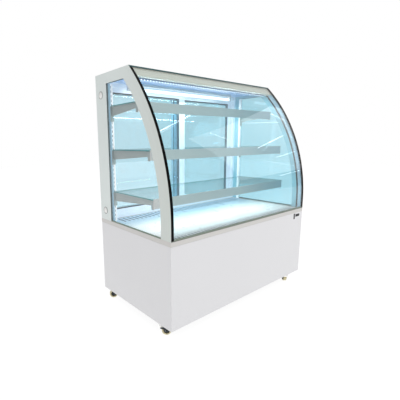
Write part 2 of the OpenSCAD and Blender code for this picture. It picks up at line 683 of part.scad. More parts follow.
module led_strips() {
  color([0.93, 0.95, 1.0]) {
    // behind the header
    bx([-545, arc_y(r_post - 6, case_h - 55) + 26, case_h - 59.5], [545, arc_y(r_post - 6, case_h - 55) + 40, case_h - 55]);
    // inside each shelf rail
    for (i = [0 : shelf_n - 1]) bx([-545, rail_y(i) + 3, shelf_z - i * shelf_gap - 30], [545, rail_y(i) + 7, shelf_z - i * shelf_gap - 18]);
  }
}

std_y = y_stile - 14;
module shelf_standards() {
  color([0.93, 0.94, 0.95]) both_sides() difference() {
    bx([-x_in, std_y, base_top + 1], [-x_in + 20, y_stile, ceil_z - 22.5]);
    bx([-x_in + 2, std_y + 2, base_top], [-x_in + 18, y_stile + 1, ceil_z]);
    for (k = [0 : floor((ceil_z - 30 - slot_z0) / slot_pitch)])
      bx([-s_in - 16, std_y - 1, slot_z0 + k * slot_pitch - 7], [-s_in - 12, std_y + 3, slot_z0 + k * slot_pitch + 7]);
  }
}

module bracket(i) {
  z = shelf_z - i * shelf_gap;
  yf = rail_y(i);
  xb = -s_in - 14;
  // web, deeper at the upright, with a tab at the front for the rail
  yz(xb - 1.25, xb + 1.25) polygon([[yf + 3.2, z - 2], [std_y - 0.5, z - 2], [std_y - 0.5, z - 52], [yf + 22, z - 27], [yf + 20, z - rail_drop - 3], [yf + 3.2, z - rail_drop - 3]]);
  // top flange under the glass
  bx([xb - 9.5, yf + 18, z - 2], [xb + 13, std_y - 0.5, z]);
  // head plate against the upright
  bx([xb - 9.5, std_y - 3.5, z - 80], [xb + 11, std_y - 0.5, z]);
  // hooks
  for (h = [15, 63]) {
    bx([xb - 1.25, std_y - 0.5, z - h - 7], [xb + 1.25, std_y + 4.6, z - h + 3]);
    bx([xb - 1.25, std_y + 2.2, z - h - 13], [xb + 1.25, std_y + 4.6, z - h - 7]);
  }
}
module shelf_brackets() {
  color([0.52, 0.56, 0.57]) both_sides() for (i = [0 : shelf_n - 1]) bracket(i);
}

module shelf_glasses() {
  for (i = [0 : shelf_n - 1]) {
    z = shelf_z - i * shelf_gap;
    color([0.55, 0.80, 0.80, 0.5]) bx([-x_in + 3, rail_y(i) + 3.2, z], [x_in - 3, std_y - 4, z + shelf_t]);
  }
}

// front rails carry the shelf's front edge and hang from the bracket tabs
module shelf_rails() {
  for (i = [0 : shelf_n - 1]) {
    z = shelf_z - i * shelf_gap;
    y = rail_y(i);
    color([0.74, 0.76, 0.75]) yz(-s_in - 15.25, s_in + 15.25) {
      translate([y, z - rail_drop]) square([3, rail_drop + shelf_t]);
    }
    color([0.74, 0.76, 0.75]) yz(-s_in - 11, s_in + 11) {
      translate([y + 3, z - 2]) square([13, 2]);
      translate([y + 3, z - rail_drop]) square([10, 2]);
    }
  }
}

// ---------- rear doors ----------
module track(z0, z1, zb0, zb1) {
  x1 = x_in - 6;
  bx([-x1, hd - 66, zb0], [x1, hd - 8, zb1]);
  for (y = [hd - 66, hd - 39.5, hd - 12]) bx([-x1, y, z0], [x1, y + 4, z1]);
}
module door_frame() {
  color(alu) {
    track(base_top, base_top + 20, base_top, base_top + 3);
    track(ceil_z - 24, ceil_z, ceil_z - 3, ceil_z);
    // jamb channels on the uprights
    both_sides() {
      bx([-x_in, hd - 66, base_top], [-x_in + 6, hd - 8, ceil_z]);
      for (y = [hd - 66, hd - 39.5, hd - 12]) bx([-x_in + 6, y, base_top], [-x_in + 16, y + 4, ceil_z]);
    }
  }
}

// s = -1 is the inner door, closed to the left; s = 1 the outer door, closed to the right
meet = 52;
jamb = 46;
door_w = door_x + door_lap;
function door_x0(s) = s < 0 ? -door_x : -door_lap;
function door_y0(s) = s < 0 ? door_ya : door_yb;
module door_frame_of(s) {
  y0 = door_y0(s);
  x0 = door_x0(s);
  xl = s < 0 ? x0 + jamb : x0 + meet;
  xr = s < 0 ? x0 + door_w - meet : x0 + door_w - jamb;
  xp = s < 0 ? x0 + 14 : x0 + door_w - 32;
  color(alu) difference() {
    bx([x0, y0, door_z0], [x0 + door_w, y0 + door_t, door_z1]);
    bx([xl, y0 - 1, door_z0 + 50], [xr, y0 + door_t + 1, door_z1 - 40]);
    // glazing groove
    bx([xl - 8, y0 + 3, door_z0 + 42], [xr + 8, y0 + door_t - 3, door_z1 - 32]);
    // finger pull in the closing upright, open to the rear
    translate([xp + 9, y0 + door_t + 1, 925]) rotate([90, 0, 0]) linear_extrude(door_t - 6) slot2(150, 18);
  }
}
module door_glass_of(s) {
  y0 = door_y0(s);
  x0 = door_x0(s);
  xl = s < 0 ? x0 + jamb : x0 + meet;
  xr = s < 0 ? x0 + door_w - meet : x0 + door_w - jamb;
  // two panes on an edge spacer
  color(aqua) difference() {
    bx([xl - 8, y0 + 3, door_z0 + 42], [xr + 8, y0 + door_t - 3, door_z1 - 32]);
    bx([xl + 4, y0 + 7, door_z0 + 54], [xr - 4, y0 + door_t - 7, door_z1 - 44]);
  }
}
module left_door_frame() { door_frame_of(-1); }
module left_door_glass() { door_glass_of(-1); }
module right_door_frame() { door_frame_of(1); }
module right_door_glass() { door_glass_of(1); }

module fasteners() {
  // round cover caps on the rear uprights
  color([0.93, 0.93, 0.92]) both_sides() for (z = [base_top + 58, case_h - 112])
    translate([-hw, hd - 56, z]) rotate([0, -90, 0]) dome(19, 7);
  // screws of the rear panels
  color([0.80, 0.81, 0.82]) for (x = [-hw + 12, hw - 12], z = [90, 380, ctl_z]) translate([x, back_y, z]) rotate([-90, 0, 0]) {
    dome(4.6, 2.6);
    translate([0, 0, -sheet - 0.05]) cylinder(r = 2.2, h = sheet + 0.1, $fn = 24);
  }
}

chassis_frame();
castor_plates();
castor_fork("fl");  // castor_fork_fl
castor_fork("fr");  // castor_fork_fr
castor_fork("rl");  // castor_fork_rl
castor_fork("rr");  // castor_fork_rr
castor_wheel("fl");  // castor_wheel_fl
castor_wheel("fr");  // castor_wheel_fr
castor_wheel("rl");  // castor_wheel_rl
castor_wheel("rr");  // castor_wheel_rr
castor_brake("fl");  // castor_brake_fl
castor_brake("fr");  // castor_brake_fr
front_panel();
left_panel();
right_panel();
rear_grille();
control_fascia();
base_rim();
insulated_tub();
deck_tray();
evaporator_coil();
evaporator_fan_plate();
evap_fan(-1);  // evaporator_fan_left
evap_fan(1);  // evaporator_fan_right
compressor();
condenser_coil();
condenser_shroud();
condenser_fan();
refrigerant_pipes();
drain_pipe();
condensate_tray();
junction_box();
power_cord();
temperature_controller();
button(0);  // button_set
button(1);  // button_up
button(2);  // button_down
switch_bezels();
rocker(0, [0.16, 0.55, 0.28]);  // power_switch
rocker(1, [0.14, 0.14, 0.15]);  // light_switch
side_frame();  // left_side_frame
mirror([1, 0, 0]) side_frame();  // right_side_frame
side_glass();  // left_side_glass
mirror([1, 0, 0]) side_glass();  // right_side_glass
front_glass();
glass_gaskets();
header_panel();
roof_panel();
led_tube();
led_strips();
shelf_standards();
shelf_brackets();
shelf_glasses();
shelf_rails();
door_frame();
left_door_frame();
left_door_glass();
right_door_frame();
right_door_glass();
fasteners();
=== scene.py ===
# Looks for a curved-glass bakery display case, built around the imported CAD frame.
# Metres, Z up. The floor is z = 0, the bent front glass faces -Y and the doors are at the rear, +Y.
# The case is centred on x = 0, with its left side at -X.
import json
import math
import bmesh
import bpy
from mathutils import Matrix, Vector


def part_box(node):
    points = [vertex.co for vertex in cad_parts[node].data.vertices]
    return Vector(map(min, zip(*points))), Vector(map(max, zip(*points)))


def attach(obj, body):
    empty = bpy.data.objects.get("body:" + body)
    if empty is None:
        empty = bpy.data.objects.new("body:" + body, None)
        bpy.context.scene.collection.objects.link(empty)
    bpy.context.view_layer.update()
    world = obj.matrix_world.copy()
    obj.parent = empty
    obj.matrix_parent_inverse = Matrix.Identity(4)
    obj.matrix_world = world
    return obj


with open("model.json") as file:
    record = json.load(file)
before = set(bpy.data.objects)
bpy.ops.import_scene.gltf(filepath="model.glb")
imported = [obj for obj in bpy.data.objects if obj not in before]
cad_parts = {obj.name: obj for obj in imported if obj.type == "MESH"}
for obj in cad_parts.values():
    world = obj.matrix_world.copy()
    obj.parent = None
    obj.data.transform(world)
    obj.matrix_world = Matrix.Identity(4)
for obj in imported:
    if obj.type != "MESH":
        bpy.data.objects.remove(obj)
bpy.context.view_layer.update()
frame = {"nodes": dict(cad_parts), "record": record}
NODES = frame["nodes"]
scene = bpy.context.scene

# ---------------------------------------------------------------- driving sizes
HALF_W, HALF_D, HEIGHT = 0.600, 0.330, 1.350
RIM_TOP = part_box("base_rim")[1].z
GLASS_R = 1.100                       # outer radius of the front glass
BEND_Y, BEND_Z = -HALF_D + GLASS_R, 0.578   # axis of the bend; the glass is upright below it
FRAME_R = GLASS_R - 0.007             # side frames, just inside the glass
POST_R = FRAME_R - 0.031              # inner edge of the front post
WINDOW_R = FRAME_R - 0.068            # front edge of the side window
WINDOW_X = HALF_W - 0.0036            # outer face line of the side window
WINDOW_TOP = HEIGHT - 0.056
WINDOW_REAR = HALF_D - 0.117
SIDES = ((-1, "left"), (1, "right"))


def bend_y(radius, z):
    """Y of the front curve of the given radius at height z."""
    return BEND_Y - radius if z < BEND_Z else BEND_Y - math.sqrt(radius * radius - (z - BEND_Z) ** 2)


# ---------------------------------------------------------------- colours and shader helper
BLACK, WHITE = (0, 0, 0, 1), (1, 1, 1, 1)


def rgba(code):
    """Linear colour of a six-digit sRGB code."""
    srgb = [int(code[i:i + 2], 16) / 255 for i in (0, 2, 4)]
    return [c / 12.92 if c <= 0.04045 else ((c + 0.055) / 1.055) ** 2.4 for c in srgb] + [1.0]


def vary(colour, factor):
    return [min(1, max(0, c * factor)) for c in colour[:3]] + [1.0]


class Shader:
    """A node material, either new and empty or a renamed copy of another one."""

    def __init__(self, name, source=None):
        if source:
            self.material = source.copy()
            self.material.name = name
            self.tree = self.material.node_tree
            self.bsdf = [n for n in self.tree.nodes if n.type == "BSDF_PRINCIPLED"][0]
        else:
            self.material = bpy.data.materials.new(name)
            self.material.use_nodes = True
            self.tree = self.material.node_tree
            self.tree.nodes.clear()
            self.output = self.add("ShaderNodeOutputMaterial")

    def put(self, value, socket):
        """Links a socket, or sets a plain value."""
        if isinstance(value, bpy.types.NodeSocket):
            self.tree.links.new(value, socket)
        else:
            socket.default_value = value

    def add(self, kind, inputs=None, **properties):
        node = self.tree.nodes.new(kind)
        for key, value in properties.items():
            setattr(node, key, value)
        for key, value in (inputs or {}).items():
            self.put(value, node.inputs[key])
        return node

    def principled(self, inputs):
        return self.add("ShaderNodeBsdfPrincipled", inputs)

    def finish(self, node):
        self.put(node.outputs[0], self.output.inputs["Surface"])
        return self.material

    def coord(self):
        return self.add("ShaderNodeTexCoord").outputs["Object"]

    def split(self, vector):
        return self.add("ShaderNodeSeparateXYZ", {0: vector}).outputs

    def position(self):
        return self.split(self.coord())

    def geometry(self):
        return self.add("ShaderNodeNewGeometry").outputs

    def noise(self, scale, detail=2.0, stretch=None, rough=0.5):
        vector = self.coord()
        if stretch:
            mapping = self.add("ShaderNodeMapping", {"Scale": stretch, "Vector": vector})
            vector = mapping.outputs["Vector"]
        node = self.add("ShaderNodeTexNoise", {"Scale": scale, "Detail": detail,
                                               "Roughness": rough, "Vector": vector})
        return node.outputs["Fac"]

    def ramp(self, factor, span, low, high):
        """Colour from low to high as the factor crosses the span."""
        node = self.add("ShaderNodeValToRGB", {"Fac": factor})
        for element, place, colour in zip(node.color_ramp.elements, span, (low, high)):
            element.position = place
            element.color = colour
        return node.outputs["Color"]

    def mottle(self, low, high, scale, detail, span=(0.3, 0.7), **noise):
        """Noise run through a two-colour ramp."""
        return self.ramp(self.noise(scale, detail, **noise), span, low, high)

    def math(self, operation, *values, clamp=False):
        return self.add("ShaderNodeMath", dict(enumerate(values)),
                        operation=operation, use_clamp=clamp).outputs[0]

    def vector_math(self, operation, *vectors):
        return self.add("ShaderNodeVectorMath", dict(enumerate(vectors)), operation=operation)

    def mix(self, factor, a, b, blend="MIX"):
        return self.add("ShaderNodeMix", {0: factor, 6: a, 7: b},
                        data_type="RGBA", blend_type=blend).outputs[2]

    def mix_shader(self, factor, a, b):
        return self.add("ShaderNodeMixShader", {0: factor, 1: a.outputs[0], 2: b.outputs[0]})

    def map_range(self, value, low, high):
        return self.add("ShaderNodeMapRange", {"From Min": low, "From Max": high,
                                               "Value": value}).outputs[0]

    def bump(self, strength, distance, **noise):
        return self.add("ShaderNodeBump", {"Strength": strength, "Distance": distance,
                                           "Height": self.noise(**noise)}).outputs["Normal"]

    def rough_noise(self, scale, amount, least, stretch=None):
        """Roughness that varies from least to least + amount."""
        return self.math("MULTIPLY_ADD", self.noise(scale, 3.0, stretch=stretch), amount, least)


# ---------------------------------------------------------------- opaque materials
def solid(name, colour, rough=0.4, metal=0.0, tint=0.03, grain=4.0, bump=0.04, bump_scale=900.0,
          rough_var=0.08, stretch=None, edge_highlight_and_wear=0.0, edge_highlight_colour=None, coat=0.0, occlusion_shade=0.0,
          glow=None, glow_strength=0.0):
    """Colour mottle, roughness mottle, fine bump, painted shade darkening corners and recesses, and
    a painted highlight on edges broken into worn-looking spots.
    """
    shader = Shader(name)
    tone = rgba(colour)
    base = shader.mottle(vary(tone, 1 - tint), vary(tone, 1 + tint),
                         scale=grain, detail=3.0, stretch=stretch)
    # painted shade: the colour darkens where ambient occlusion finds nearby surfaces
    if occlusion_shade:
        occlusion = shader.add("ShaderNodeAmbientOcclusion", {"Distance": 0.02}, samples=4)
        hidden = shader.math("SUBTRACT", 1.0, occlusion.outputs["AO"], clamp=True)
        base = shader.mix(shader.math("MULTIPLY", hidden, occlusion_shade), base, vary(tone, 0.45))
    # painted highlight with wear: edges lighter than the paint unless an edge colour is given,
    # broken into worn-looking spots
    if edge_highlight_and_wear:
        # an edge is where the rounded normal leaves the flat one
        rounded = shader.add("ShaderNodeBevel", {"Radius": 0.0016}, samples=4)
        dot = shader.vector_math("DOT_PRODUCT", rounded.outputs["Normal"],
                                 shader.geometry()["Normal"])
        edge = shader.math("SUBTRACT", 1.0, dot.outputs["Value"], clamp=True)
        edge = shader.math("MULTIPLY", edge, 6.0, clamp=True)
        spots = shader.mottle(BLACK, WHITE, scale=160.0, detail=4.0, span=(0.45, 0.62))
        edge_light = shader.math("MULTIPLY", shader.math("MULTIPLY", edge, spots), edge_highlight_and_wear)
        base = shader.mix(edge_light, base, rgba(edge_highlight_colour) if edge_highlight_colour else vary(tone, 1.25))
    bsdf = shader.principled({
        "Base Color": base, "Metallic": metal, "Coat Weight": coat,
        "Roughness": shader.rough_noise(grain * 6, rough_var * 2, rough - rough_var, stretch)})
    if bump:
        normal = shader.bump(bump, 0.0006, scale=bump_scale, detail=2.0, stretch=stretch)
        shader.put(normal, bsdf.inputs["Normal"])
    # glow adds emission; on the paints, metals and nylon that use it, it is painted light
    if glow:
        bsdf.inputs["Emission Color"].default_value = rgba(glow)
        bsdf.inputs["Emission Strength"].default_value = glow_strength
    return shader.finish(bsdf)


POWDER = dict(tint=0.012, grain=3.0, bump=0.06, bump_scale=1400)
BRUSHED = dict(grain=60, bump=0.05, bump_scale=700)
# material name: look. CAD pieces pick theirs by the slot name in the frame record.
SOLIDS = {
    "base_paint": dict(colour="E4E4E6", rough=0.36, tint=0.008, grain=2.0, bump=0.05,
                       bump_scale=1400, edge_highlight_and_wear=0.25, occlusion_shade=0.25),
    "frame_paint": dict(colour="E1E9E7", rough=0.38, edge_highlight_and_wear=0.3, occlusion_shade=0.3, **POWDER),
    "rim_paint": dict(colour="D3D1CE", rough=0.36, edge_highlight_and_wear=0.3, occlusion_shade=0.3, **POWDER),
    "steel_sheet": dict(colour="A8ADB0", rough=0.38, metal=0.9, tint=0.10, grain=22, bump=0.05,
                        bump_scale=300, rough_var=0.12, occlusion_shade=0.4),
    "aluminium": dict(colour="C9CDD0", rough=0.30, metal=0.92, tint=0.04, stretch=(40, 40, 1),
                      occlusion_shade=0.3, **BRUSHED),
    # painted light: a faint blue-white glow brightens the door frames
    "door_alu": dict(colour="E3E8EC", rough=0.38, metal=0.25, tint=0.03, stretch=(40, 40, 1),
                     occlusion_shade=0.25, glow="C4DAF0", glow_strength=0.34, **BRUSHED),
    # painted light: a faint glow brightens the shelf standards
    "standard_white": dict(colour="F4F7F8", rough=0.35, tint=0.02, grain=8, occlusion_shade=0.2,
                           glow="EAF4FA", glow_strength=0.32),
    # painted shade: near-black for the sheets set behind slots
    "dark_gap": dict(colour="1A2836", rough=0.6, tint=0.1, grain=20),
    "seal_grey": dict(colour="5F7C88", tint=0.1, grain=40, bump=0.05),
    "cap_line": dict(colour="8A908D", rough=0.5, tint=0.05, grain=40),
    "seam_olive": dict(colour="7C8A7C", tint=0.1, grain=40, bump=0.05),
    "alu_x": dict(colour="C9CDD0", rough=0.30, metal=0.92, tint=0.04, stretch=(1, 40, 40),
                  occlusion_shade=0.3, **BRUSHED),
    "rail_paint": dict(colour="C9CBC9", rough=0.42, grain=3, bump=0.05, occlusion_shade=0.2),
    "white_metal": dict(colour="F2F4F5", rough=0.35, tint=0.02, grain=8, occlusion_shade=0.5),
    # painted light: a faint glow brightens the brackets
    "bracket_grey": dict(colour="A2B1B0", rough=0.40, tint=0.05, grain=10, bump=0.06, metal=0.15,
                         edge_highlight_and_wear=0.4, occlusion_shade=0.3, glow="98B0B4", glow_strength=0.08),
    "black_rubber": dict(colour="141518", rough=0.55, tint=0.15, grain=30, bump=0.10,
                         bump_scale=500),
    "badge_black": dict(colour="060606", rough=0.6, tint=0.05, grain=25, bump=0.05),
    "black_plastic": dict(colour="1D1F21", rough=0.45, tint=0.10, grain=25, bump=0.15,
                          bump_scale=1600),
    "grey_plastic": dict(colour="8E9296", rough=0.5, tint=0.05, grain=25, bump=0.1,
                         bump_scale=1600),
    "green_plastic": dict(colour="2F9A55", rough=0.25, tint=0.06, grain=25, bump=0.03,
                          glow="2FD060", glow_strength=0.5, coat=0.4),
    "white_plastic": dict(colour="F0F0EE", rough=0.25, tint=0.02, grain=25, bump=0.02, coat=0.3),
    "liner": dict(colour="DADDE0", rough=0.35, metal=0.7, tint=0.04, grain=12, bump_scale=500,
                  occlusion_shade=0.4),
    "deck_white": dict(colour="F4F2F1", rough=0.30, tint=0.005, grain=3, bump=0.01, occlusion_shade=0.12),
    "zinc": dict(colour="C9C7BE", rough=0.28, metal=0.95, tint=0.12, grain=90, bump=0.08,
                 bump_scale=800, rough_var=0.12, occlusion_shade=0.6),
    "black_steel": dict(colour="17191B", rough=0.30, tint=0.2, grain=12, bump=0.06, coat=0.4,
                        edge_highlight_and_wear=0.5, edge_highlight_colour="6A6D70", occlusion_shade=0.2),
    "copper": dict(colour="C98258", rough=0.25, metal=1.0, tint=0.18, grain=60, bump=0.03,
                   rough_var=0.12),
    # painted light: a faint warm glow brightens the header panel
    "header_paint": dict(colour="EFE2D2", rough=0.36, occlusion_shade=0.15, glow="EADDCB",
                         glow_strength=0.30, **POWDER),
    "sealant": dict(colour="3E4A47", tint=0.1, grain=40, bump=0.05),
    "window_dark": dict(colour="180808", rough=0.08, tint=0.1, grain=30, bump=0.0, coat=0.5),
}
MAT = {name: solid(name, **look) for name, look in SOLIDS.items()}
# painted light: the pedals glow so that they fade into the pale floor
pedal_nylon = solid("pedal_nylon", colour="F0F0EE", rough=0.45, grain=40, bump=0.05, occlusion_shade=0.15,
                    glow="F4F4F2", glow_strength=0.45)


def ceiling_material():
    """Satin ceiling sheet with painted blue light: a painted glow, deeper blue at the front, paler
    towards the tube.
    """
    shader = Shader("ceiling")
    wobble = shader.math("MULTIPLY", shader.noise(scale=2.0, detail=2.0), 0.03)
    depth = shader.math("ADD", shader.position()["Y"], wobble)
    return shader.finish(shader.principled({
        "Base Color": shader.mottle(rgba("2E5C8F"), rgba("3A6A9C"), scale=3.0, detail=2.0),
        "Emission Color": shader.ramp(depth, (0.02, 0.30), rgba("2F6CB6"), rgba("97C2EA")),
        "Emission Strength": 0.55,
        "Roughness": shader.rough_noise(14.0, amount=0.1, least=0.2)}))


MAT["ceiling"] = ceiling_material()


# ---------------------------------------------------------------- glass
def bent_normal(shader):
    """Normal of the front pane, turned to the ray: level below the bend, radial above it."""
    place = shader.position()
    rise = shader.math("SUBTRACT", place["Z"], BEND_Z)
    radial = shader.add("ShaderNodeCombineXYZ", {
        "Y": shader.math("SUBTRACT", place["Y"], BEND_Y),
        "Z": shader.math("MAXIMUM", rise, 0.0)})
    normal = shader.vector_math("NORMALIZE", radial.outputs[0]).outputs[0]
    ray = shader.vector_math("SCALE", shader.geometry()["Incoming"])
    ray.inputs["Scale"].default_value = -1.0
    return shader.vector_math("FACEFORWARD", normal, ray.outputs[0], normal).outputs[0]


def edge_mask(shader, axes):
    """1 on faces that look along one of the axes."""
    facing = shader.split(shader.geometry()["True Normal"])
    mask = None
    for axis in axes:
        along = shader.math("ABSOLUTE", facing[axis])
        face = shader.math("GREATER_THAN", along, 0.98 if axis == "Z" else 0.9)
        mask = face if mask is None else shader.math("MAXIMUM", mask, face)
    return mask


def printed_border(shader, pane):
    """Black printed border along both ends, with paler bands at the foot and the top."""
    end = HALF_W - 0.0185
    place = shader.position()

    def at_top():
        return shader.math("GREATER_THAN", place["Z"], HEIGHT - 0.0075)

    def across():
        return shader.math("ABSOLUTE", place["X"])

    foot = shader.math("MULTIPLY", shader.math("LESS_THAN", place["Z"], RIM_TOP + 0.0105),
                       shader.math("LESS_THAN", across(), end))
    ink = shader.mottle(rgba("020303"), rgba("050607"), scale=60.0, detail=3.0)
    ink = shader.mix(foot, ink, rgba("8B968B"))
    ink = shader.mix(at_top(), ink, rgba("3F6668"))
    border = shader.principled({"Base Color": ink, "Roughness": 0.22,
                                "Specular IOR Level": 0.08})
    ends = shader.math("GREATER_THAN", across(), end)
    cover = shader.math("MAXIMUM", foot, shader.math("MAXIMUM", ends, at_top()))
    return shader.mix_shader(cover, pane, border)


def glass(name, tint, edge, edge_axes, mirror=1.0, smear=0.0, front=False):
    """Thin glass: tinted see-through with an angle-dependent mirror and coloured polished edges.

    mirror scales the reflection, smear adds to the dust veil, front is the bent printed pane."""
    shader = Shader(name)
    edge = rgba(edge)
    clear = shader.add("ShaderNodeBsdfTransparent", {
        "Color": shader.mottle(vary(tint, 0.985), vary(tint, 1.01), scale=1.6, detail=2.0,
                               span=(0.25, 0.75))})
    # flat panes have a faint float-glass waviness in the reflection
    normal = bent_normal(shader) if front else shader.bump(0.015, 0.002, scale=7.0, detail=1.0)
    gloss = shader.add("ShaderNodeBsdfGlossy", {"Roughness": 0.02, "Color": WHITE,
                                                "Normal": normal})
    # mirror share by angle, the same from both sides of the pane (Schlick)
    view = shader.geometry()
    dot = shader.vector_math("DOT_PRODUCT", view["Incoming"], view["Normal"]).outputs["Value"]
    grazing = shader.math("SUBTRACT", 1.0, shader.math("ABSOLUTE", dot), clamp=True)
    share = shader.math("MULTIPLY_ADD", shader.math("POWER", grazing, 5.0),
                        0.92 * mirror, 0.035 * mirror, clamp=True)
    pane = shader.mix_shader(share, clear, gloss)
    # finger marks and dust: a very thin diffuse veil, broken up by noise
    veil = shader.add("ShaderNodeBsdfDiffuse", {"Color": (0.95, 0.98, 1.0, 1)})
    patches = shader.mottle(BLACK, WHITE, scale=9.0, detail=6.0, span=(0.52, 0.8), rough=0.7)
    pane = shader.mix_shader(shader.math("MULTIPLY", patches, 0.03 + smear), pane, veil)
    edge_tone = shader.mottle(vary(edge, 0.8), vary(edge, 1.2), scale=40.0, detail=3.0)
    if front:
        low = shader.math("LESS_THAN", shader.position()["Z"], RIM_TOP + 0.02)
        edge_tone = shader.mix(low, edge_tone, rgba("8FA89E"))
    # painted light: the polished edges glow faintly in their own colour
    polished = shader.principled({"Base Color": edge_tone, "Roughness": 0.12,
                                  "Emission Color": edge, "Emission Strength": 0.12})
    pane = shader.mix_shader(edge_mask(shader, edge_axes), pane, polished)
    return shader.finish(printed_border(shader, pane) if front else pane)


GLASSES = {
    "front_glass": dict(tint=[0.888, 0.945, 0.957, 1], edge="16403C", edge_axes="XZ",
                        mirror=1.25, smear=0.004, front=True),
    "side_glass": dict(tint=[0.995, 0.988, 0.994, 1], edge="8DB6C2", edge_axes="YZ", smear=0.01),
    "right_glass": dict(tint=[0.672, 0.890, 0.950, 1], edge="3F8F86", edge_axes="YZ",
                        mirror=1.2, smear=0.01),
    "door_glass": dict(tint=[0.853, 0.952, 0.980, 1], edge="2E7F80", edge_axes="XZ", smear=0.02),
    "shelf_glass": dict(tint=[0.93, 0.98, 0.98, 1], edge="2E8C90", edge_axes="XY", smear=0.02),
}
MAT.update({name: glass(name, **look) for name, look in GLASSES.items()})


# ---------------------------------------------------------------- glowing materials
def lamp(name, colour, strength, mirrored=None):
    """Plain emission; mirrored is its strength as seen in reflections."""
    shader = Shader(name)
    tone = rgba(colour)
    level = strength
    if mirrored:
        glossy = shader.add("ShaderNodeLightPath").outputs["Is Glossy Ray"]
        level = shader.math("MULTIPLY_ADD", glossy, mirrored - strength, strength)
    return shader.finish(shader.add("ShaderNodeEmission", {
        "Color": shader.mottle(vary(tone, 0.96), vary(tone, 1.0), scale=30.0, detail=1.0,
                               span=(0.2, 0.8)),
        "Strength": level}))


MAT["lamp"] = lamp("lamp", "F4FAFF", strength=2.4, mirrored=4.0)
MAT["led"] = lamp("led", "EAF6FF", strength=2.2, mirrored=26.0)
MAT["led_small"] = lamp("led_small", "EAF6FF", strength=2.0, mirrored=40.0)
MAT["digits"] = lamp("digits", "FF3020", strength=3.0)
# painted light: the LED strip boards glow faint blue; the chips are the lamps
MAT["strip"] = lamp("strip", "6C9CD2", strength=0.50)


# ---------------------------------------------------------------- castor materials
def tyre_material(name, centre):
    """Cream tread round a dark hub, by distance from the wheel centre."""
    shader = Shader(name)
    distance = shader.vector_math("DISTANCE", shader.coord(), centre).outputs["Value"]
    cream = shader.mottle(rgba("B9AE84"), rgba("E4DCB8"), scale=120, detail=4.0)
    hub = shader.mottle(rgba("202326"), rgba("2E3236"), scale=60, detail=3.0)
    tread = shader.ramp(distance, (0.0172, 0.0178), BLACK, WHITE)
    return shader.finish(shader.principled({
        "Base Color": shader.mix(tread, hub, cream), "Roughness": 0.5,
        "Normal": shader.bump(0.15, 0.0005, scale=500.0, detail=3.0)}))


def fork_material(name, centre):
    """Zinc fork: a painted highlight at the axle end, dark round it, plain zinc further out."""
    shader = Shader(name)
    place = shader.position()
    offset = shader.add("ShaderNodeCombineXYZ", {
        "Y": shader.math("SUBTRACT", place["Y"], centre.y),
        "Z": shader.math("SUBTRACT", place["Z"], centre.z)})
    distance = shader.vector_math("LENGTH", offset.outputs[0]).outputs["Value"]
    zinc = shader.mottle(rgba("C9C7BE"), rgba("DAD9D2"), scale=90, detail=4.0)
    dark = shader.mottle(rgba("262B30"), rgba("343A40"), scale=90, detail=4.0)
    past_axle = shader.ramp(distance, (0.0045, 0.0055), BLACK, WHITE)
    past_cheek = shader.ramp(distance, (0.0195, 0.0215), BLACK, WHITE)
    # painted highlight: pale blue-white at the axle end
    cheek = shader.mix(past_axle, rgba("E3EDF2"), dark)
    return shader.finish(shader.principled({
        "Base Color": shader.mix(past_cheek, cheek, zinc), "Metallic": 0.35,
        "Roughness": shader.rough_noise(60.0, amount=0.12, least=0.3)}))


# ---------------------------------------------------------------- paints that follow the place
def gradient_paint(name, source, axis, stops, glow_strength=0.0):
    """A copy of a paint whose colour follows one axis, given as (position, colour) stops."""
    shader = Shader(name, MAT[source])
    start, end = stops[0][0], stops[-1][0]
    share = shader.map_range(shader.position()[axis], start, end)
    colour = shader.ramp(share, (0.0, 1.0), rgba(stops[0][1]), rgba(stops[-1][1]))
    elements = colour.node.color_ramp.elements
    for place, code in stops[1:-1]:
        elements.new((place - start) / (end - start)).color = rgba(code)
    shader.put(colour, shader.bsdf.inputs["Base Color"])
    if glow_strength:
        shader.put(colour, shader.bsdf.inputs["Emission Color"])
        shader.bsdf.inputs["Emission Strength"].default_value = glow_strength
    return shader.material


def side_frame_material():
    """Powder-coated outside, painted a touch darker towards the front (painted shade); the faces
    inside the case get a painted bluish tone and a faint glow (painted light).
    """
    shader = Shader("side_frame_paint", MAT["frame_paint"])
    sockets = shader.bsdf.inputs
    paint_tone = sockets["Base Color"].links[0].from_socket
    place = shader.position()
    inside = shader.math("LESS_THAN", shader.math("ABSOLUTE", place["X"]), HALF_W - 0.0135)
    # distance from the axis of the bend, level below it
    rise = shader.math("SUBTRACT", place["Z"], BEND_Z)
    offset = shader.add("ShaderNodeCombineXYZ", {
        "X": shader.math("SUBTRACT", place["Y"], BEND_Y),
        "Y": shader.math("MAXIMUM", rise, 0.0)})
    distance = shader.vector_math("LENGTH", offset.outputs[0]).outputs["Value"]
    behind_post = shader.math("LESS_THAN", distance, POST_R)
    # painted light: bluish tone for the inside faces, more teal behind the front post
    inside_glow_tone = shader.mix(behind_post, rgba("A9C6D6"), rgba("8CC0CE"))
    # painted shade: the outside paint is a touch darker towards the front
    depth = shader.map_range(place["Y"], -0.30, 0.12)
    shade = shader.ramp(depth, (0.0, 1.0), rgba("F0EFEC"), WHITE)
    outside = shader.mix(1.0, paint_tone, shade, blend="MULTIPLY")
    shader.put(shader.math("MULTIPLY", inside, 0.22), sockets["Emission Strength"])
    shader.put(inside_glow_tone, sockets["Emission Color"])
    shader.put(shader.mix(inside, outside, inside_glow_tone), sockets["Base Color"])
    return shader.material


# ---------------------------------------------------------------- painting the CAD pieces
def paint(node, material):
    mesh = NODES[node].data
    mesh.materials.clear()
    mesh.materials.append(material)
    for face in mesh.polygons:
        face.material_index = 0


def box_centre(node):
    low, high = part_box(node)
    return (low + high) / 2


